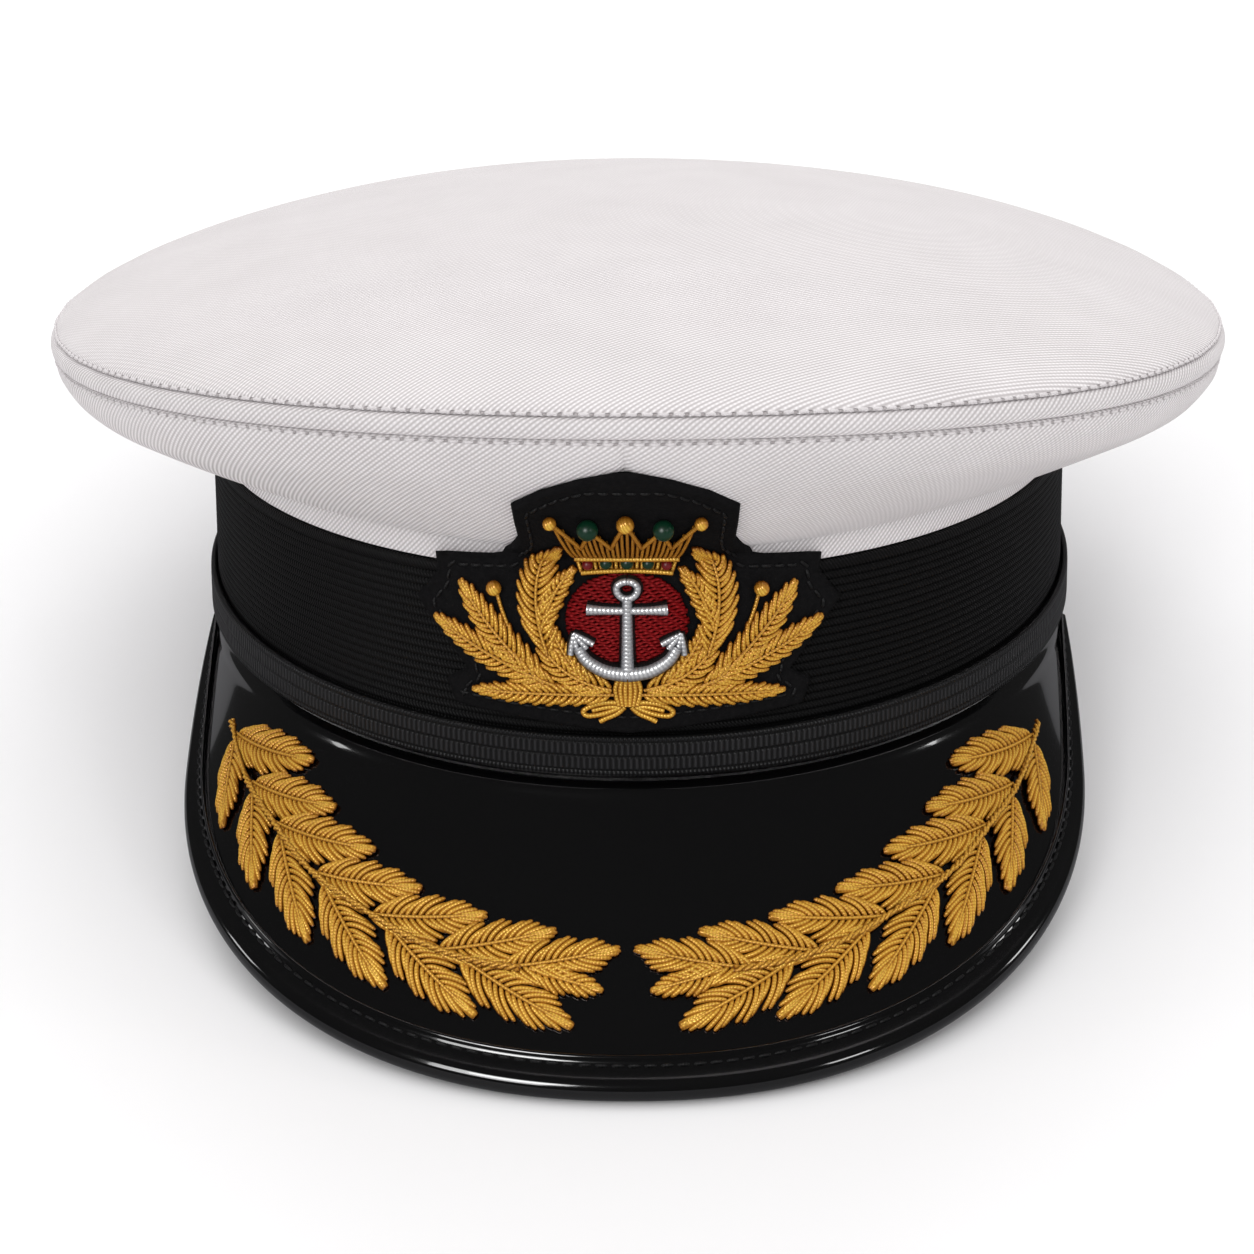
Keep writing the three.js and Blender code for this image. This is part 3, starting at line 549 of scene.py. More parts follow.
def crownSide(side):
    seam = cloth["seamGap"] / band["halfWidth"]
    # closer together at the front, where the centre seam puckers the cloth
    share = np.linspace(0, 1, 211) ** 1.25
    angles = side * (seam + share * (math.pi - 2 * seam))
    lines = crownLines(angles)
    normals = gridNormals(lines, capMiddle)
    climb = np.stack([runOf(line) for line in lines])
    fromEdge = climb[:, -1:] - climb
    fromSeam = np.abs(lines[..., 0])
    dip = -0.5 * np.exp(-((fromSeam / 0.8) ** 2))
    pucker = 0.22 * np.sin(climb / 1.9) * np.exp(-fromSeam / 5) * np.exp(-fromEdge / 26)
    edgeRun = runOf(lines[:, -1])
    gather = 0.10 * np.sin(edgeRun * 0.31)[:, None] * np.exp(-fromEdge / 7)
    swell = np.sin(np.clip(climb / climb[:, -1:], 0, 1) * math.pi)
    soft = 0.35 * np.sin(angles * 5 + 0.7)[:, None] * swell
    outer = lines + normals * (dip + pucker + gather + soft - 0.22 * furrow(fromEdge))[..., None]
    inner = lines - normals * cloth["thickness"]
    count = round(edgeRun[-1] / cloth["stitchPitch"])
    pitch = edgeRun[-1] / count
    middleRun = side * runOf(lines[:, 40])[:, None] + np.zeros_like(climb)
    weaveData = planeVectors(middleRun, climb)
    alongEdge = edgeRun[:, None] + np.zeros_like(climb)
    seamData = np.stack([alongEdge, fromEdge, np.full_like(climb, pitch)], -1)
    data = {"weave": shell(weaveData, weaveData), "seam": shell(seamData, seamData)}
    hand = "right" if side > 0 else "left"
    loftPiece(f"crown_side_{hand}", shell(outer, inner), twill, "twill", **data)
    track = pointsAt(climb[:, -1] - cloth["stitchIn"], climb, outer)
    return track, normals[:, -3], count


def stitchObject(name, track, upward, count, look, length=2.0, thick=0.3):
    arch = np.linspace(-1, 1, 9)
    bend = np.stack([arch * length / 2, np.zeros_like(arch), 0.16 - 0.42 * arch**4], -1)
    taper = thick * (1 - 0.45 * arch**4)
    data = {"thick": taper / 1000, "spun": planeVectors(runOf(bend), 0.5)}
    edges = [(i, i + 1) for i in range(len(arch) - 1)]
    one = meshObject(name + "_one", (bend / 1000).tolist(), [], data, edges)
    withNodes(one, tubes, Sides=7, Material=look.material)
    lifted = toRow(track)
    upwardRow = toRow(track + upward) - lifted
    line = [(i, i + 1) for i in range(len(track) - 1)]
    row = meshObject(name, lifted.tolist(), [], {"upward": unit(upwardRow)}, line)
    withNodes(row, stitches, Count=count + 1, Stitch=one, Material=look.material)
    bpy.data.objects.remove(one)
    return row


lowerRows = []
for sideSign in (1, -1):
    track, upward, count = crownSide(sideSign)
    lowerRows.append(stitchObject(f"lower_{len(lowerRows)}", track, upward, count, whiteThread))
lowerStitches = joinObjects("crown_stitches_lower", lowerRows)
finishPiece(lowerStitches, "twill")

# Welt: a cloth-covered cord round the crown
welt = {"height": 4.4, "width": 3.2, "proud": 0.8, "flats": 24}
turns = np.linspace(0, 2 * math.pi, welt["flats"] + 1)
weltOut = welt["proud"] - welt["width"] / 2 * (1 + np.sin(turns))
weltUp = welt["height"] / 2 * (1 + np.cos(turns))
weltEdge = around(crown, roundAngles)[:, None]
crownRun = runOf(oval(crown, roundAngles))
weltGrid = ringSections(crown, roundAngles, weltOut + np.zeros_like(weltEdge), weltEdge + weltUp)
weltData = {
    "weave": planeVectors(crownRun[:, None], (turns * 2.0)[None, :]),
    "seam": np.broadcast_to([0.0, 9.0, 1.0], weltGrid.shape),
}
loftPiece("crown_welt", weltGrid, twill, "twill", **weltData)


def domeGrid(inset):
    share = np.sin(np.linspace(1, 0, 81) * math.pi / 2)[None, :]
    angle = roundAngles[:, None]
    across = share * np.sin(angle)
    forward = share * np.cos(angle)
    middle = (crown["front"] + crown["back"]) / 2
    saddle = (middle - crown["side"]) * across**2
    slope = (crown["front"] - crown["back"]) / 2 * forward
    rise = (cloth["rise"] - inset) * np.clip(1 - share**2, 0, 1) ** cloth["fullness"]
    x = (crown["halfWidth"] - inset) * across
    y = crown["setBack"] - (crown["halfLength"] - inset) * forward
    z = welt["height"] + clearance + middle + slope - saddle + rise
    return np.stack([x, y, z], -1)


domeOuter = domeGrid(0.0)
domeInner = domeGrid(cloth["thickness"])
domeClimb = np.stack([runOf(line) for line in domeOuter])
domeRun = crownRun[:, None] + np.zeros_like(domeClimb)
domeX, domeY, _ = np.moveaxis(domeOuter, -1, 0)
sag = 0.5 * np.sin(domeX / 31 + 0.4) * np.sin(domeY / 37 + 1.1) * np.clip(domeClimb / 30, 0, 1)
domeGather = 0.09 * np.sin(domeRun * 0.33) * np.exp(-domeClimb / 6)
domeFurrow = 0.2 * furrow(domeClimb)
domeNormals = gridNormals(domeOuter, capMiddle)
domeNormals[:, -1] = [0.0, -0.12, 0.993]
domeOuter = domeOuter + domeNormals * (sag + domeGather - domeFurrow)[..., None]
topCount = round(crownRun[-1] / cloth["stitchPitch"])
topPitch = crownRun[-1] / topCount
domeWeave = planeVectors(domeX, domeY)
domeSeam = np.stack([domeRun, domeClimb, np.full_like(domeRun, topPitch)], -1)
domeData = {"weave": shell(domeWeave, domeWeave), "seam": shell(domeSeam, domeSeam)}
loftPiece("crown_top", shell(domeOuter, domeInner), twill, "twill", **domeData)
topTrack = pointsAt([cloth["stitchIn"]] * len(domeClimb), domeClimb, domeOuter)
topStitches = stitchObject("crown_stitches_upper", topTrack, domeNormals[:, 3], topCount, whiteThread)
finishPiece(topStitches, "twill")
print("crown done")


# Grounds that the embroidery lies on: a surface over two measures, with a lift along its normal


class Ground:
    def __init__(self, first, second, points, normals):
        self.axes = (first, second)
        self.points = points
        self.normals = normals

    def at(self, a, b, lift=0.0):
        a, b, lift = np.broadcast_arrays(np.asarray(a, float), b, lift)
        spots = []
        for value, axis in zip((a, b), self.axes):
            place = np.clip((value - axis[0]) / (axis[1] - axis[0]), 0, len(axis) - 1.001)
            spots.append((place.astype(int), (place - place.astype(int))[..., None]))
        (i, s), (j, t) = spots
        found = []
        for grid in (self.points, self.normals):
            low = grid[i, j] * (1 - s) + grid[i + 1, j] * s
            high = grid[i, j + 1] * (1 - s) + grid[i + 1, j + 1] * s
            found.append(low * (1 - t) + high * t)
        return found[0] + unit(found[1]) * lift[..., None]

    def along(self, line, lift):
        return self.at(line[:, 0], line[:, 1], lift)

    def scale(self, a, b):
        sizes = []
        for k, axis in enumerate(self.axes):
            step = (axis[-1] - axis[0]) / 100
            shift = step * np.eye(2)[k]
            ends = [self.at(a + way * shift[0], b + way * shift[1]) for way in (-1, 1)]
            sizes.append(np.linalg.norm(ends[1] - ends[0]) / 2 / step)
        return np.array(sizes)


frontSizes = {"angle": 0.75, "height": 88, "halfWidth": 46, "smoothing": 12}


def frontGround():
    angles = np.linspace(-frontSizes["angle"], frontSizes["angle"], 301)
    lines = crownLines(angles)[:, 2:]
    foot = np.concatenate([oval(band, angles), np.zeros((len(angles), 1))], -1)[:, None]
    top = foot + around(band, angles)[:, None, None] * [0, 0, 1]
    lines = np.concatenate([foot, top, lines], 1)
    climbs = np.linspace(0, frontSizes["height"], 177)
    even = np.stack([resampled(climbs, runOf(line), line) for line in lines])
    across = np.linspace(-frontSizes["halfWidth"], frontSizes["halfWidth"], 185)
    columns = [resampled(across, even[:, j, 0], even[:, j]) for j in range(len(climbs))]
    grid = np.stack(columns, 1)
    reach = frontSizes["smoothing"]
    ahead = np.minimum(np.arange(len(climbs)) + reach, len(climbs) - 1)
    behind = np.maximum(np.arange(len(climbs)) - reach, 0)
    normals = unit(np.cross(np.gradient(grid, axis=0), grid[:, ahead] - grid[:, behind]))
    return Ground(across, climbs, grid, normals)


# Peak: a sheet ruled from the band to its rim
peak = {"thickness": 2.2, "reach": 39.6, "drop": 45.6, "sideProud": 0.3, "widest": 85.0}
peakEnd = {"back": 131.0, "tuck": 1.6, "drop": 3.6, "squareness": 2.2}


def rimPoints(share):
    way = np.abs(2 * share - 1)
    widest = band["halfWidth"] + peak["sideProud"]
    end = band["halfWidth"] - peakEnd["tuck"]
    power = 2 / peakEnd["squareness"]
    turn = np.minimum(way * 2, 1) * math.pi / 2
    run = np.maximum(way * 2 - 1, 0)
    across = widest * np.sin(turn) ** power - (widest - end) * run**2
    rounded = peak["widest"] * (1 - np.abs(np.cos(turn)) ** power)
    back = rounded + (peakEnd["back"] - peak["widest"]) * run
    height = -peak["drop"] + (peak["drop"] - peakEnd["drop"]) * back / peakEnd["back"]
    flat = [np.sign(share - 0.5) * across, back - band["halfLength"] - peak["reach"], height]
    return np.stack(flat, -1)


def peakMiddle(along, share):
    fine = np.linspace(0, 1, 4001)
    curve = rimPoints(fine)
    length = runOf(curve)
    rim = rimPoints(np.interp(along * length[-1], length, fine))
    half = math.acos((band["halfLength"] + peak["reach"] - peakEnd["back"]) / band["halfLength"])
    root = oval(band, (2 * along - 1) * half, np.full_like(along, -band["wall"] / 2))
    drop = np.full((len(along), 1), -clearance - peak["thickness"] / 2)
    root = np.concatenate([root, drop], -1)
    return root[:, None] + (rim - root)[:, None] * share[None, :, None]


peakAlong = np.linspace(0, 1, 481)
peakShare = np.linspace(0, 1, 101)
peakMid = peakMiddle(peakAlong, peakShare)
peakWidth = np.linalg.norm(peakMid[:, -1] - peakMid[:, 0], axis=-1)
peakOut = unit(peakMid[:, -1:] - peakMid[:, :1]) + np.zeros_like(peakMid)
peakNormals = unit(np.cross(peakOut, np.gradient(peakMid, axis=0)))
upShare = 1 - peakShare[::-1]
peakFace = peakMid + peakNormals * peak["thickness"] / 2
peakTop = Ground(peakAlong, upShare, peakFace[:, ::-1], peakNormals[:, ::-1])
front = frontGround()

# The top of the peak has a low welted ridge where it meets the band
ridges = {"from": 2.4, "reach": 1.2, "height": 0.25}
peakDistance = peakShare[None, :] * peakWidth[:, None]
ridgeLift = ridges["height"] * np.exp(-(((peakDistance - ridges["from"]) / ridges["reach"]) ** 2))
inside = np.clip((peakWidth[:, None] - 1.0) / peakWidth[:, None], 0, 1)
peakInner = peakMid[:, :1] + (peakMid - peakMid[:, :1]) * inside[..., None]
peakUpper = peakInner + peakNormals * (peak["thickness"] / 2 + ridgeLift)[..., None]
peakUnder = peakInner - peakNormals * peak["thickness"] / 2
loftPiece("peak", shell(peakUpper, peakUnder), patent, "patent")

# Binding: a thin inner ridge, a stitched groove and a roll round the rim
binding = {"roll": 2.6, "flange": 6.4, "stitchOut": -4.1, "stitchUp": 1.66, "stitchPitch": 3.1}
rollTurns = np.radians(np.linspace(118, -118, 25))
roll = np.stack([np.cos(rollTurns), np.sin(rollTurns)], -1) * binding["roll"]
inward = [(-6.5, 1.2), (-6.5, 1.75), (-6.3, 2.1), (-5.9, 2.22), (-5.5, 2.1), (-5.1, 1.82)]
groove = [(-4.6, 1.68), (-4.1, 1.64), (-3.5, 1.68), (-2.7, 1.85), (-2.0, 2.1)]
under = [(-2.4, -2.15), (-4.4, -2.1), (-6.2, -2.0), (-6.5, -1.7), (-6.5, -1.2)]
inSlot = [(-1.0, -1.2), (-1.0, 1.2), (-6.5, 1.2)]
bindingLoop = np.array([*inward, *groove, *roll.tolist(), *under, *inSlot])
narrowing = (peakWidth / (peakWidth + binding["flange"]))[:, None]
bindingOut = np.where(bindingLoop[:, 0] < 0, bindingLoop[:, 0] * narrowing, bindingLoop[:, 0])


def overRim(out, up):
    step = np.clip(1 + out / peakWidth[:, None], 0, 1)
    lower = pointsAt(step, [peakShare] * len(step), peakNormals)
    return peakMid[:, -1:] + peakOut[:, :1] * out[..., None] + unit(lower) * up[..., None]


bindingGrid = overRim(bindingOut, np.broadcast_to(bindingLoop[:, 1], bindingOut.shape))
loftPiece("peak_binding", bindingGrid, patent, "patent")
grooveOut = binding["stitchOut"] * narrowing
grooveTrack = overRim(grooveOut, np.full_like(grooveOut, binding["stitchUp"]))[:, 0]
grooveCount = round(runOf(grooveTrack)[-1] / binding["stitchPitch"])
grooveUp = peakNormals[:, 90]
rimStitches = stitchObject("peak_stitches", grooveTrack, grooveUp, grooveCount, blackThread, 2.3, 0.32)
finishPiece(rimStitches, "patent")
print("peak done")

# Leaves: threads slant forward from a vein to a lobed edge


def leafThreads(ground, base, tip, bow, sizes):
    base = np.asarray(base, float)
    tip = np.asarray(tip, float)
    scale = ground.scale(*((base + tip) / 2))
    span = (tip - base) * scale
    length = np.linalg.norm(span)
    forward = span / length
    side = np.array([-forward[1], forward[0]])

    def place(run, across, lift):
        share = np.clip(run / length, 0, 1)
        across = across + 4 * bow * share * (1 - share)
        flat = base + (np.outer(run, forward) + np.outer(across, side)) / scale
        return ground.along(flat, lift + sizes["seat"])

    # t runs along one thread from the vein to the leaf's edge, where the thread ends bluntly
    count = max(5, round(length / sizes["pitch"]))
    paths = []
    t = np.array([0.0, 0.08, 0.22, 0.38, 0.54, 0.7, 0.84, 0.94, 1.0])
    blunt = np.array([0.75, 0.95, 1.0, 1.0, 1.0, 1.0, 0.98, 0.84, 0.5])
    for sign in (1, -1):
        for k in range(count):
            start = (k + (0.5 if sign > 0 else 0.15)) / count * 0.97
            end = start + min(sizes["lean"] * sizes["half"] / length, (1 - start) * 0.97)
            lobe = sizes["lobes"][k % len(sizes["lobes"])]
            wide = math.sin(math.pi * (0.06 + 0.94 * end) ** sizes["belly"]) ** sizes["pointed"]
            reach = sizes["half"] * wide * lobe * (1 + 0.03 * (seeds.random() - 0.5))
            run = (start + (end - start) * (0.62 * t + 0.38 * t**2)) * length
            run = run + (lobe - 1) * 1.2 * t
            across = sign * (0.25 + (reach - 0.25) * (1.3 * t - 0.3 * t**2))
            lift = sizes["rise"] * np.sin(math.pi * (0.22 + 0.7 * t)) ** 0.7 * (0.55 + 0.45 * wide)
            points = place(run, across, lift)
            paths.append((points, sizes["thick"] * blunt, place(run, across, lift + 1) - points))
    run = np.linspace(-0.02, 0.97, 22) * length
    crest = sizes["rise"] * (0.98 - 0.4 * np.linspace(0, 1, 22) ** 3)
    vein = place(run, np.zeros(22), crest)
    return paths, (vein, sizes["thick"] * 0.72, place(run, np.zeros(22), crest + 1) - vein)


# Leaves of the left spray: base along and up the peak, tip along and up, and the width's share
sprayLeaves = [
    (0.167, 0.624, 0.250, 0.815, 0.95),
    (0.213, 0.541, 0.288, 0.695, 0.95),
    (0.252, 0.493, 0.330, 0.616, 0.95),
    (0.298, 0.432, 0.370, 0.547, 0.95),
    (0.345, 0.395, 0.415, 0.512, 0.95),
    (0.391, 0.356, 0.458, 0.492, 0.95),
    (0.168, 0.585, 0.206, 0.234, 0.90),
    (0.217, 0.506, 0.259, 0.208, 1.00),
    (0.258, 0.474, 0.312, 0.194, 1.05),
    (0.307, 0.413, 0.367, 0.180, 1.05),
    (0.358, 0.382, 0.420, 0.176, 1.05),
    (0.406, 0.351, 0.472, 0.182, 1.05),
    (0.430, 0.345, 0.496, 0.441, 0.95),
    (0.446, 0.352, 0.487, 0.302, 0.60),
]
sprayStem = [
    (0.153, 0.636), (0.204, 0.527), (0.250, 0.484), (0.290, 0.431),
    (0.336, 0.401), (0.378, 0.364), (0.414, 0.348), (0.440, 0.349),
]
leaf = {"seat": 0.2, "rise": 1.3, "half": 4.7, "pitch": 1.36, "thick": 0.56}
leaf.update({"pointed": 0.6, "lean": 1.15, "belly": 0.86, "lobes": (0.76, 0.97, 1.08, 0.98)})
stem = {"rise": 1.9, "apart": 0.42, "thick": 0.45, "pitch": 3.2}


def twistedStem(ground, spots):
    line = smoothRows(spots, 90)
    centre = ground.along(line, stem["rise"])
    run = runOf(centre)
    ahead = unit(np.gradient(centre, axis=0))
    upward = unit(ground.along(line, stem["rise"] + 1) - centre)
    sideways = np.cross(ahead, upward)
    strands = []
    for start in (0, math.pi):
        turn = run / stem["pitch"] * 2 * math.pi + start
        shift = sideways * np.cos(turn)[:, None] + upward * np.sin(turn)[:, None]
        strands.append((centre + shift * stem["apart"], stem["thick"], upward))
    return strands


def embroidered(name, ground, leaves, stems, *more):
    sewn = [leafThreads(ground, *each) for each in leaves]
    threads = [path for paths, _ in sewn for path in paths]
    veins = [vein for _, vein in sewn] + stems
    wires = threadObject(name + "_threads", threads, gold)
    parts = [wires, threadObject(name + "_veins", veins, veinGold), *more]
    finishPiece(joinObjects(name, parts), "bullion", name)


def spray(side):
    def spot(along, up):
        return (1 - along if side > 0 else along), up

    leaves = [
        (spot(*each[:2]), spot(*each[2:4]), 0.0, dict(leaf, half=leaf["half"] * each[4]))
        for each in sprayLeaves
    ]
    stems = twistedStem(peakTop, [spot(*each) for each in sprayStem])
    embroidered("spray_right" if side > 0 else "spray_left", peakTop, leaves, stems)


spray(1)
spray(-1)
print("sprays done")

# Badge patch: half widths at climbs from the foot of the band, the lowest edge dipped in the middle
patchRows = [
    (13.2, 33.0), (18.0, 34.5), (20.7, 30.5), (27.0, 35.2), (33.6, 40.1), (39.5, 35.9), (43.4, 36.3),
    (44.9, 23.6), (48.8, 21.8), (53.4, 20.3), (59.5, 20.8), (65.8, 21.2), (70.6, 15.6), (74.0, 8.6),
    (76.2, 0.9),
]
patch = {"seat": 0.6, "thickness": 1.2, "dip": 3.4, "hem": 2.8, "stitchPitch": 2.6, "flats": 64}
patchFront = patch["seat"] + patch["thickness"]


def patchGrid():
    climbs, halves = np.array(patchRows).T
    fine = np.linspace(climbs[0], climbs[-1], 127)
    half = np.interp(fine, climbs, halves)
    share = np.linspace(-1, 1, patch["flats"] + 1)
    x = half[:, None] * share[None, :]
    dipping = np.clip(1 - (fine - climbs[0]) / 14, 0, 1)[:, None]
    climb = fine[:, None] - patch["dip"] * dipping * (1 - np.abs(share))[None, :]
    toSide = (1 - np.abs(share))[None, :] * half[:, None]
    toFoot = (fine - climbs[0])[:, None] + np.zeros_like(x)
    toTop = (climbs[-1] - fine)[:, None] * 1.5 + np.zeros_like(x)
    edge = np.clip(np.minimum(np.minimum(toSide, toFoot), toTop) / 0.9, 0, 1)
    lift = patch["seat"] + patch["thickness"] * np.sqrt(1 - (1 - edge) ** 2)
    outer = front.at(x, climb, lift)
    inner = front.at(x, climb, patch["seat"] - 0.3)
    return shell(outer, inner)


loftPiece("badge_patch", patchGrid(), felt, "felt")


def hemLine():
    climbs, halves = np.array(patchRows).T
    fine = np.linspace(climbs[0] + patch["hem"], climbs[-1] - patch["hem"] * 1.6, 150)
    near = [np.interp(fine + shift, climbs, halves) for shift in (0, -1.5, 1.5)]
    narrow = np.min(near, 0) - patch["hem"]
    right = np.stack([narrow, fine], -1)
    low = np.stack([np.linspace(-narrow[0], narrow[0], 50), np.zeros(50)], -1)
    low[:, 1] = fine[0] - 2.4 * (1 - np.abs(low[:, 0]) / narrow[0])
    loop = np.concatenate([low, right, right[::-1] * [-1, 1]])
    return loop[np.diff(runOf(loop), prepend=-1) > 1e-6]


hem = front.along(hemLine(), patchFront)
hemUp = front.along(hemLine(), patchFront + 1) - hem
hemCount = round(runOf(hem)[-1] / patch["stitchPitch"])
hemStitches = stitchObject("badge_stitches", hem, hemUp, hemCount, blackThread)
finishPiece(hemStitches, "felt")

# Wreath: fronds of the right half, from the tie out
wreathFronds = [
    (3.2, 19.8, 16.6, 29.6, -2.2, 3.0),
    (14.6, 26.6, 12.5, 52.8, -3.0, 3.3),
    (15.6, 31.4, 9.6, 44.6, -0.8, 2.0),
    (7.2, 21.4, 14.2, 33.0, -0.9, 1.3),
    (15.6, 20.6, 30.8, 39.2, -0.9, 3.0),
    (13.6, 20.2, 35.7, 31.2, -0.8, 2.8),
    (3.0, 18.7, 28.8, 17.3, 0.2, 2.3),
]
frond = {"seat": patchFront + 0.1, "rise": 1.2, "pitch": 1.3, "thick": 0.5}
frond.update({"pointed": 0.5, "lean": 1.2, "belly": 0.9, "lobes": (0.88, 1.1)})
berry = {"x": 24.3, "climb": 38.6, "radius": 1.5, "stem": [(22.0, 31.0), (23.2, 34.6), (24.0, 37.6)]}


def beadObject(name, x, climb, radius, lift, look):
    bpy.ops.mesh.primitive_uv_sphere_add(segments=24, ring_count=14, radius=radius / 1000)
    made = bpy.context.object
    made.name = name
    centre = toRow(front.at(x, climb, lift))
    made.data.transform(Matrix.Translation(centre.tolist()))
    local = np.array([vertex.co for vertex in made.data.vertices]) - centre
    # the third number of spun is painted light: a bead is lighter where it faces forward and shaded
    # towards its rim
    outward = np.clip(-local[:, 1] / (radius / 1000), 0, 1) * 0.8 + 0.2
    spun = np.stack([local[:, 0] * 900 + local[:, 2] * 500, np.full(len(local), 0.5), outward], -1)
    made.data.attributes.new("spun", "FLOAT_VECTOR", "POINT").data.foreach_set("vector", spun.ravel())
    made.data.shade_smooth()
    made.data.materials.append(look.material)
    return made


def wreath(side):
    name = "wreath_right" if side > 0 else "wreath_left"
    fronds = [
        ((side * fromX, fromClimb), (side * toX, toClimb), side * bow, dict(frond, half=half))
        for fromX, fromClimb, toX, toClimb, bow, half in wreathFronds
    ]
    stalk = smoothRows([(side * x, climb) for x, climb in berry["stem"]], 12)
    stalks = [(front.along(stalk, patchFront + 0.5), 0.4)]
    x, climb, radius = side * berry["x"], berry["climb"], berry["radius"]
    bead = beadObject(name + "_berry", x, climb, radius, patchFront + radius * 0.8, gold)
    embroidered(name, front, fronds, stalks, bead)


wreath(1)
wreath(-1)


def sewn(spots, lift, radius, count=24):
    return front.along(smoothRows(spots, count), patchFront + lift), radius


# Tie: upright wraps with a loop and a tail to each side
tiePaths = []
for x in (-2.1, -1.25, -0.42, 0.42, 1.25, 2.1):
    strand = [(x * 0.75, 22.2), (x * 1.1, 19.6), (x * 0.8, 16.4)]
    tiePaths.append(sewn(strand, 1.3 - abs(x) * 0.2, 0.52))
for sideSign in (1, -1):
    loop = [(0.4, 16.6), (3.2, 16.9), (6.2, 16.3), (8.2, 15.0), (7.4, 14.0), (4.4, 14.6), (1.2, 16.0)]
    tail = [(0.6, 16.0), (2.0, 14.6), (4.0, 13.6), (5.2, 12.9)]
    tiePaths.append(sewn([(sideSign * x, climb) for x, climb in loop], 0.6, 0.55, 40))
    inner = [(1.4, 15.9), (3.6, 15.9), (6.6, 15.1)]
    tiePaths.append(sewn([(sideSign * x, climb) for x, climb in inner], 0.55, 0.5))
    tiePaths.append(sewn([(sideSign * x, climb) for x, climb in tail], 0.5, 0.55))
finishPiece(threadObject("wreath_tie", tiePaths, gold, 8), "bullion", "wreath_tie")

# Red oval of wavy threads
cushion = {"climb": 33.4, "halfWidth": 11.3, "halfHeight": 10.0, "rise": 1.0, "pitch": 0.62}


def cushionPaths():
    paths = []
    for row, offset in enumerate(np.arange(-9.7, 9.71, cushion["pitch"])):
        reach = cushion["halfWidth"] * math.sqrt(1 - (offset / cushion["halfHeight"]) ** 2)
        x = np.arange(-reach, reach + 0.01, 0.55)
        climb = cushion["climb"] + offset + 0.2 * np.sin(x * 2.9 + row * 1.9)
        fromMiddle = (x / cushion["halfWidth"]) ** 2 + (offset / cushion["halfHeight"]) ** 2
        swell = cushion["rise"] * np.sqrt(np.clip(1.02 - fromMiddle, 0, 1))
        lift = patchFront + swell + 0.16 * np.sin(x * 4.1 + row * 2.6)
        paths.append((front.at(x, climb, lift), 0.4))
    return paths


finishPiece(threadObject("badge_cushion", cushionPaths(), redSilk), "red_silk", "badge_cushion")

# Anchor of wrapped wire over a dark edge
anchorLift = 2.1
anchorLines = [
    ([(0, 22.9), (0, 27), (0, 33), (0, 38.6)], (1.5, 1.25, 1.1, 1.0)),
    ([(-7.2, 36.3), (-3.5, 36.2), (3.5, 36.2), (7.2, 36.3)], (1.15, 0.85, 0.85, 1.15)),
]
for sideSign in (1, -1):
    arm = [(0, 23.3), (3.9, 23.9), (7.3, 26.0), (8.9, 28.6)]
    anchorLines.append(([(sideSign * x, climb) for x, climb in arm], (1.5, 1.4, 1.25, 1.1)))
    for x, climb in ((6.1, 29.3), (7.3, 28.4), (8.9, 27.4), (10.2, 27.0)):
        palm = [(9.7, 31.4), ((9.7 + x) / 2, (31.4 + climb) / 2), (x, climb)]
        anchorLines.append(([(sideSign * x, climb) for x, climb in palm], (0.3, 0.6, 0.62)))
ringTurns = np.linspace(0, 2 * math.pi, 13)
ringLine = [(1.9 * math.sin(turn), 40.4 + 1.9 * math.cos(turn)) for turn in ringTurns]
anchorLines.append((ringLine, (0.72,) * 13))


def anchorPaths(lift, wider):
    paths = []
    for line, radii in anchorLines:
        fine = smoothRows(np.column_stack([line, radii]), 30)
        paths.append((front.along(fine, patchFront + lift), fine[:, 2] + wider))
    return paths


anchorPiece = joinObjects("badge_anchor", [
    threadObject("anchor_wire", anchorPaths(anchorLift, 0.0), silver, 12),
    threadObject("anchor_edge", anchorPaths(anchorLift - 0.75, 0.4), blackThread, 10),
])
finishPiece(anchorPiece, "silver", "badge_anchor")

# Coronet: a plain circlet with ball-topped points
coronet = {"foot": 44.2, "belt": 48.3, "halfFoot": 8.3, "halfTop": 13.6, "pitch": 0.085}
coronet.update({"dip": 53.7, "point": 59.6, "top": 62.4, "beltPitch": 0.11})
coronetFans = [0.0, 0.25, 0.5, 0.75, 1.0]
coronetTops = [coronet[key] for key in ("top", "dip", "point", "dip", "top")]


def coronetSpot(fan, height):
    spread = (height - coronet["foot"]) / (coronet["top"] - coronet["foot"])
    x = fan * (coronet["halfFoot"] + (coronet["halfTop"] - coronet["halfFoot"]) * spread)
    sink = 0.7 * fan**2 * (1 - spread)
    return x, height - sink


def coronetPaths():
    paths = []
    for fan in np.arange(-1, 1.001, coronet["pitch"]):
        top = np.interp(abs(fan), coronetFans, coronetTops)
        height = np.linspace(coronet["belt"], top, 10)
        x, climb = coronetSpot(fan, height)
        lift = patchFront + 0.35 + 0.5 * np.sin(np.linspace(0.2, 1, 10) * math.pi)
        paths.append((front.at(x, climb, lift), 0.36))
    for fan in np.arange(-1, 1.001, coronet["beltPitch"]):
        x, climb = coronetSpot(fan, np.linspace(coronet["foot"], coronet["belt"], 6))
        paths.append((front.at(x, climb, patchFront + 0.55), 0.42))
    edge = np.linspace(-1, 1, 81)
    for height, lift in ((coronet["foot"], 1.0), (coronet["belt"], 1.1)):
        x, climb = coronetSpot(edge, np.full_like(edge, height))
        paths.append((front.at(x, climb, patchFront + lift), 0.5))
    x, climb = coronetSpot(edge, np.interp(np.abs(edge), coronetFans, coronetTops))
    paths.append((front.at(x, climb, patchFront + 0.9), 0.46))
    return paths


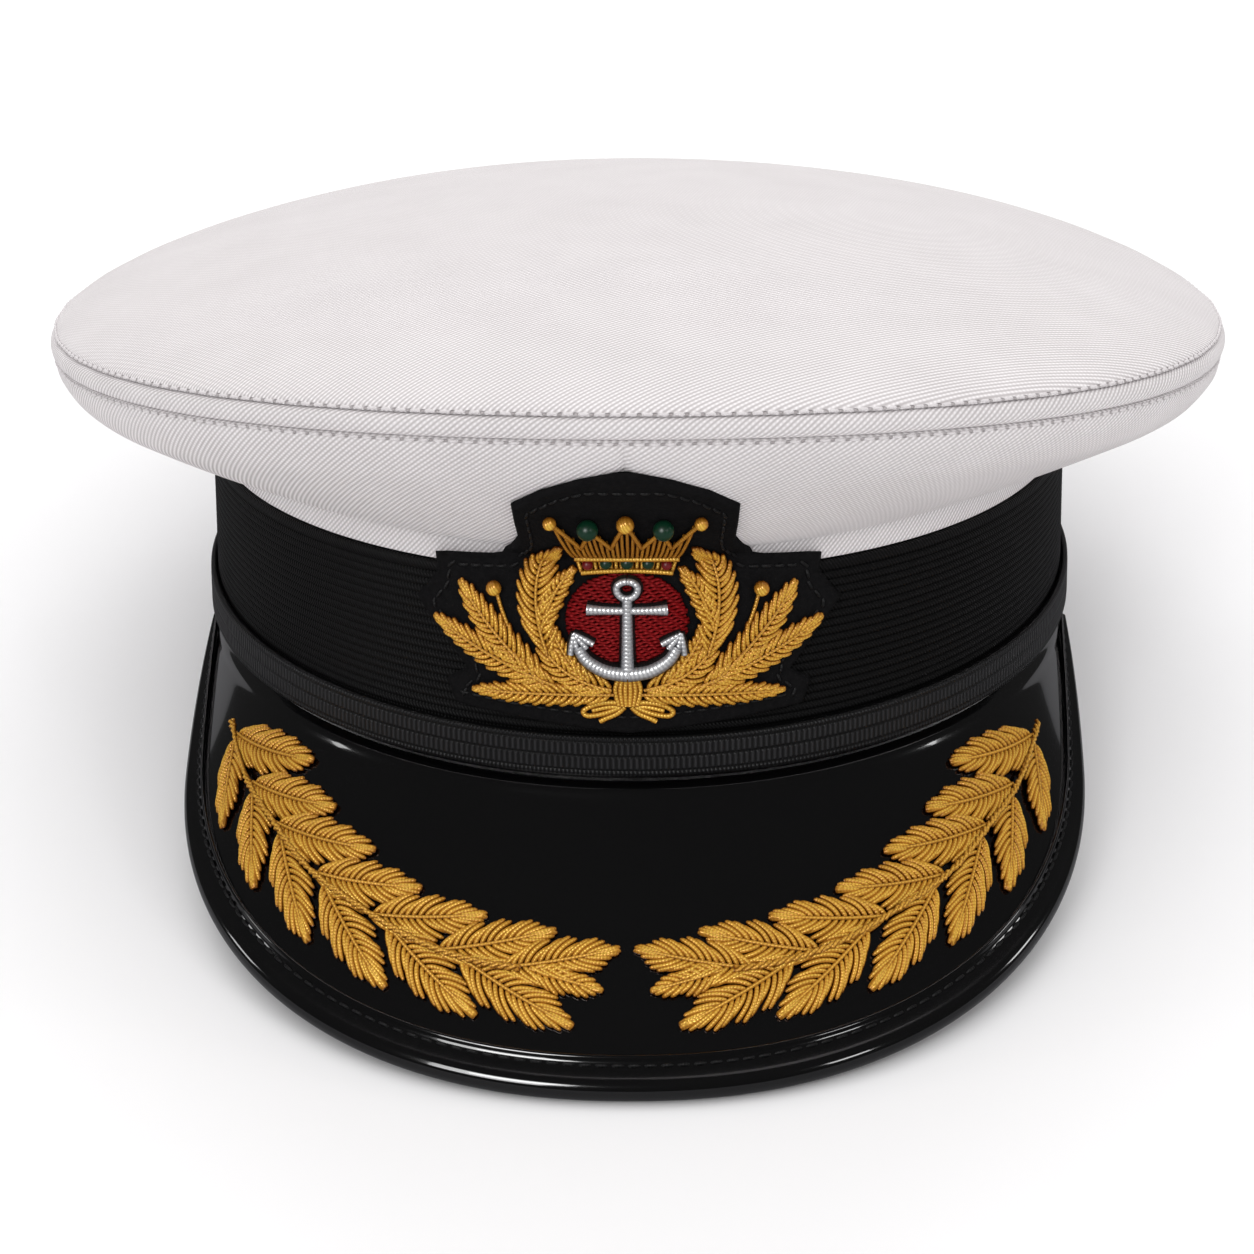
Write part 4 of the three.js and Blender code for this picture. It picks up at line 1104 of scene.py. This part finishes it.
coronetParts = [threadObject("coronet_wire", coronetPaths(), gold, 7)]
for index, (x, climb, radius) in enumerate([(0, 63.5, 1.7), (13.8, 63.0, 1.3), (-13.8, 63.0, 1.3)]):
    lift = patchFront + radius * 0.9
    coronetParts.append(beadObject(f"coronet_ball_{index}", x, climb, radius, lift, gold))
finishPiece(joinObjects("coronet", coronetParts), "bullion", "coronet")

stones = [("coronet_stone_middle", 0.0, 46.4, 1.25, greenBead, "green_stone")]
for sideSign, hand in ((1, "right"), (-1, "left")):
    stones += [
        (f"coronet_stone_red_{hand}", sideSign * 7.1, 45.8, 1.05, redBead, "red_stone"),
        (f"coronet_stone_green_{hand}", sideSign * 3.8, 46.2, 1.15, greenBead, "green_stone"),
        (f"coronet_pearl_{hand}", sideSign * 6.9, 61.6, 2.0, greenBead, "green_stone"),
    ]
for name, x, climb, radius, look, slotName in stones:
    lift = patchFront + (1.5 if "stone" in name else 1.6)
    finishPiece(beadObject(name + "_bead", x, climb, radius, lift, look), slotName, name)
print("badge done")

# Floor, light and camera


aimAt = (0.0, 0.0, 0.05)


def areaLight(name, place, width, height, power):
    light = bpy.data.lights.new(name, "AREA")
    light.shape = "RECTANGLE"
    light.size = width
    light.size_y = height
    light.energy = power
    made = linked(name, light)
    backward = unit(np.array(place, float) - np.array(aimAt, float))
    right = unit(np.cross([0.0, 0.0, 1.0], backward))
    upward = np.cross(backward, right)
    made.matrix_world = turned(right, upward, backward, place)
    return made


def turned(right, upward, backward, place):
    matrix = Matrix.Identity(4)
    for row in range(3):
        matrix[row] = (right[row], upward[row], backward[row], place[row])
    return matrix


bpy.ops.mesh.primitive_plane_add(size=30, location=(0, 0, -0.0003))
floor = bpy.context.object
floor.name = "floor"
floorLook = Look("floor", roughness=0.9, specular=0.1)
# seen in reflections the floor is painted darker, a painted dimming of its reflection in the cap
mirrored = floorLook.node("ShaderNodeLightPath", output=3)
floorLook.give("colour", floorLook.mix(mirrored, (0.93, 0.93, 0.94), (0.22, 0.22, 0.23)))
floor.data.materials.append(floorLook.material)

world = bpy.data.worlds.new("white room")
bpy.context.scene.world = world
world.use_nodes = True
sky = Tree(world.node_tree)
direction = sky.node("ShaderNodeTexCoord", output=0)
skyHeight = sky.node("ShaderNodeSeparateXYZ", {0: direction}, output=2)
seen = sky.node("ShaderNodeLightPath", output=0)
glossy = sky.node("ShaderNodeLightPath", output=3)
room = {"overhead": 1.25, "all": 0.1, "mirrored": 0.05}
softLight = skyHeight.step(0.0, 1.0) * room["overhead"] + room["all"]
strength = (softLight * (1.0 - glossy) + glossy * room["mirrored"]) * (1.0 - seen) + seen
background = world.node_tree.nodes["Background"]
sky.join((1.0, 0.99, 0.985, 1.0), background.inputs[0])
sky.join(strength, background.inputs[1])
bpy.context.scene.view_settings.view_transform = "Standard"

areaLight("front box", (-0.55, -1.5, 1.15), 0.6, 0.4, 5.5)
areaLight("right front box", (1.1, -1.2, 0.9), 0.3, 0.3, 2.0)
areaLight("back box", (0.0, 1.5, 1.3), 1.6, 0.5, 11.0)
areaLight("left box", (-1.6, 0.15, 0.7), 0.3, 0.3, 1.4)
areaLight("right box", (1.6, 0.15, 0.7), 0.3, 0.3, 2.0)
shineBox = areaLight("shine box", (-0.75, -1.5, 1.1), 0.8, 0.9, 15.0)
shineBox.visible_diffuse = False

# The camera's place is in the cap's millimetres, and its turns are in degrees
photo = {"place": (-2.7, -1049.5, 418.9), "lens": 155.95}
photo.update({"pitch": 22.224, "roll": 0.45, "yaw": 1.45})


def photoCamera():
    pitch, roll, yaw = (math.radians(photo[turn]) for turn in ("pitch", "roll", "yaw"))
    right = np.array([1.0, 0.0, 0.0])
    upward = np.array([0.0, math.sin(pitch), math.cos(pitch)])
    backward = np.array([0.0, -math.cos(pitch), math.sin(pitch)])
    rolledRight = right * math.cos(roll) - upward * math.sin(roll)
    rolledUp = upward * math.cos(roll) + right * math.sin(roll)
    turn = np.array([
        [math.cos(yaw), -math.sin(yaw), 0.0],
        [math.sin(yaw), math.cos(yaw), 0.0],
        [0.0, 0.0, 1.0],
    ])
    place = turn @ np.array(photo["place"])
    base = toRow(place)
    axes = [(toRow(place + turn @ axis * 1000) - base) for axis in (rolledRight, rolledUp, backward)]
    camera = bpy.data.cameras.new("photo camera")
    camera.lens = photo["lens"]
    camera.sensor_width = 36.0
    camera.clip_end = 100.0
    made = linked("photo camera", camera)
    made.matrix_world = turned(*axes, base)
    bpy.context.scene.camera = made


photoCamera()
bpy.context.view_layer.update()
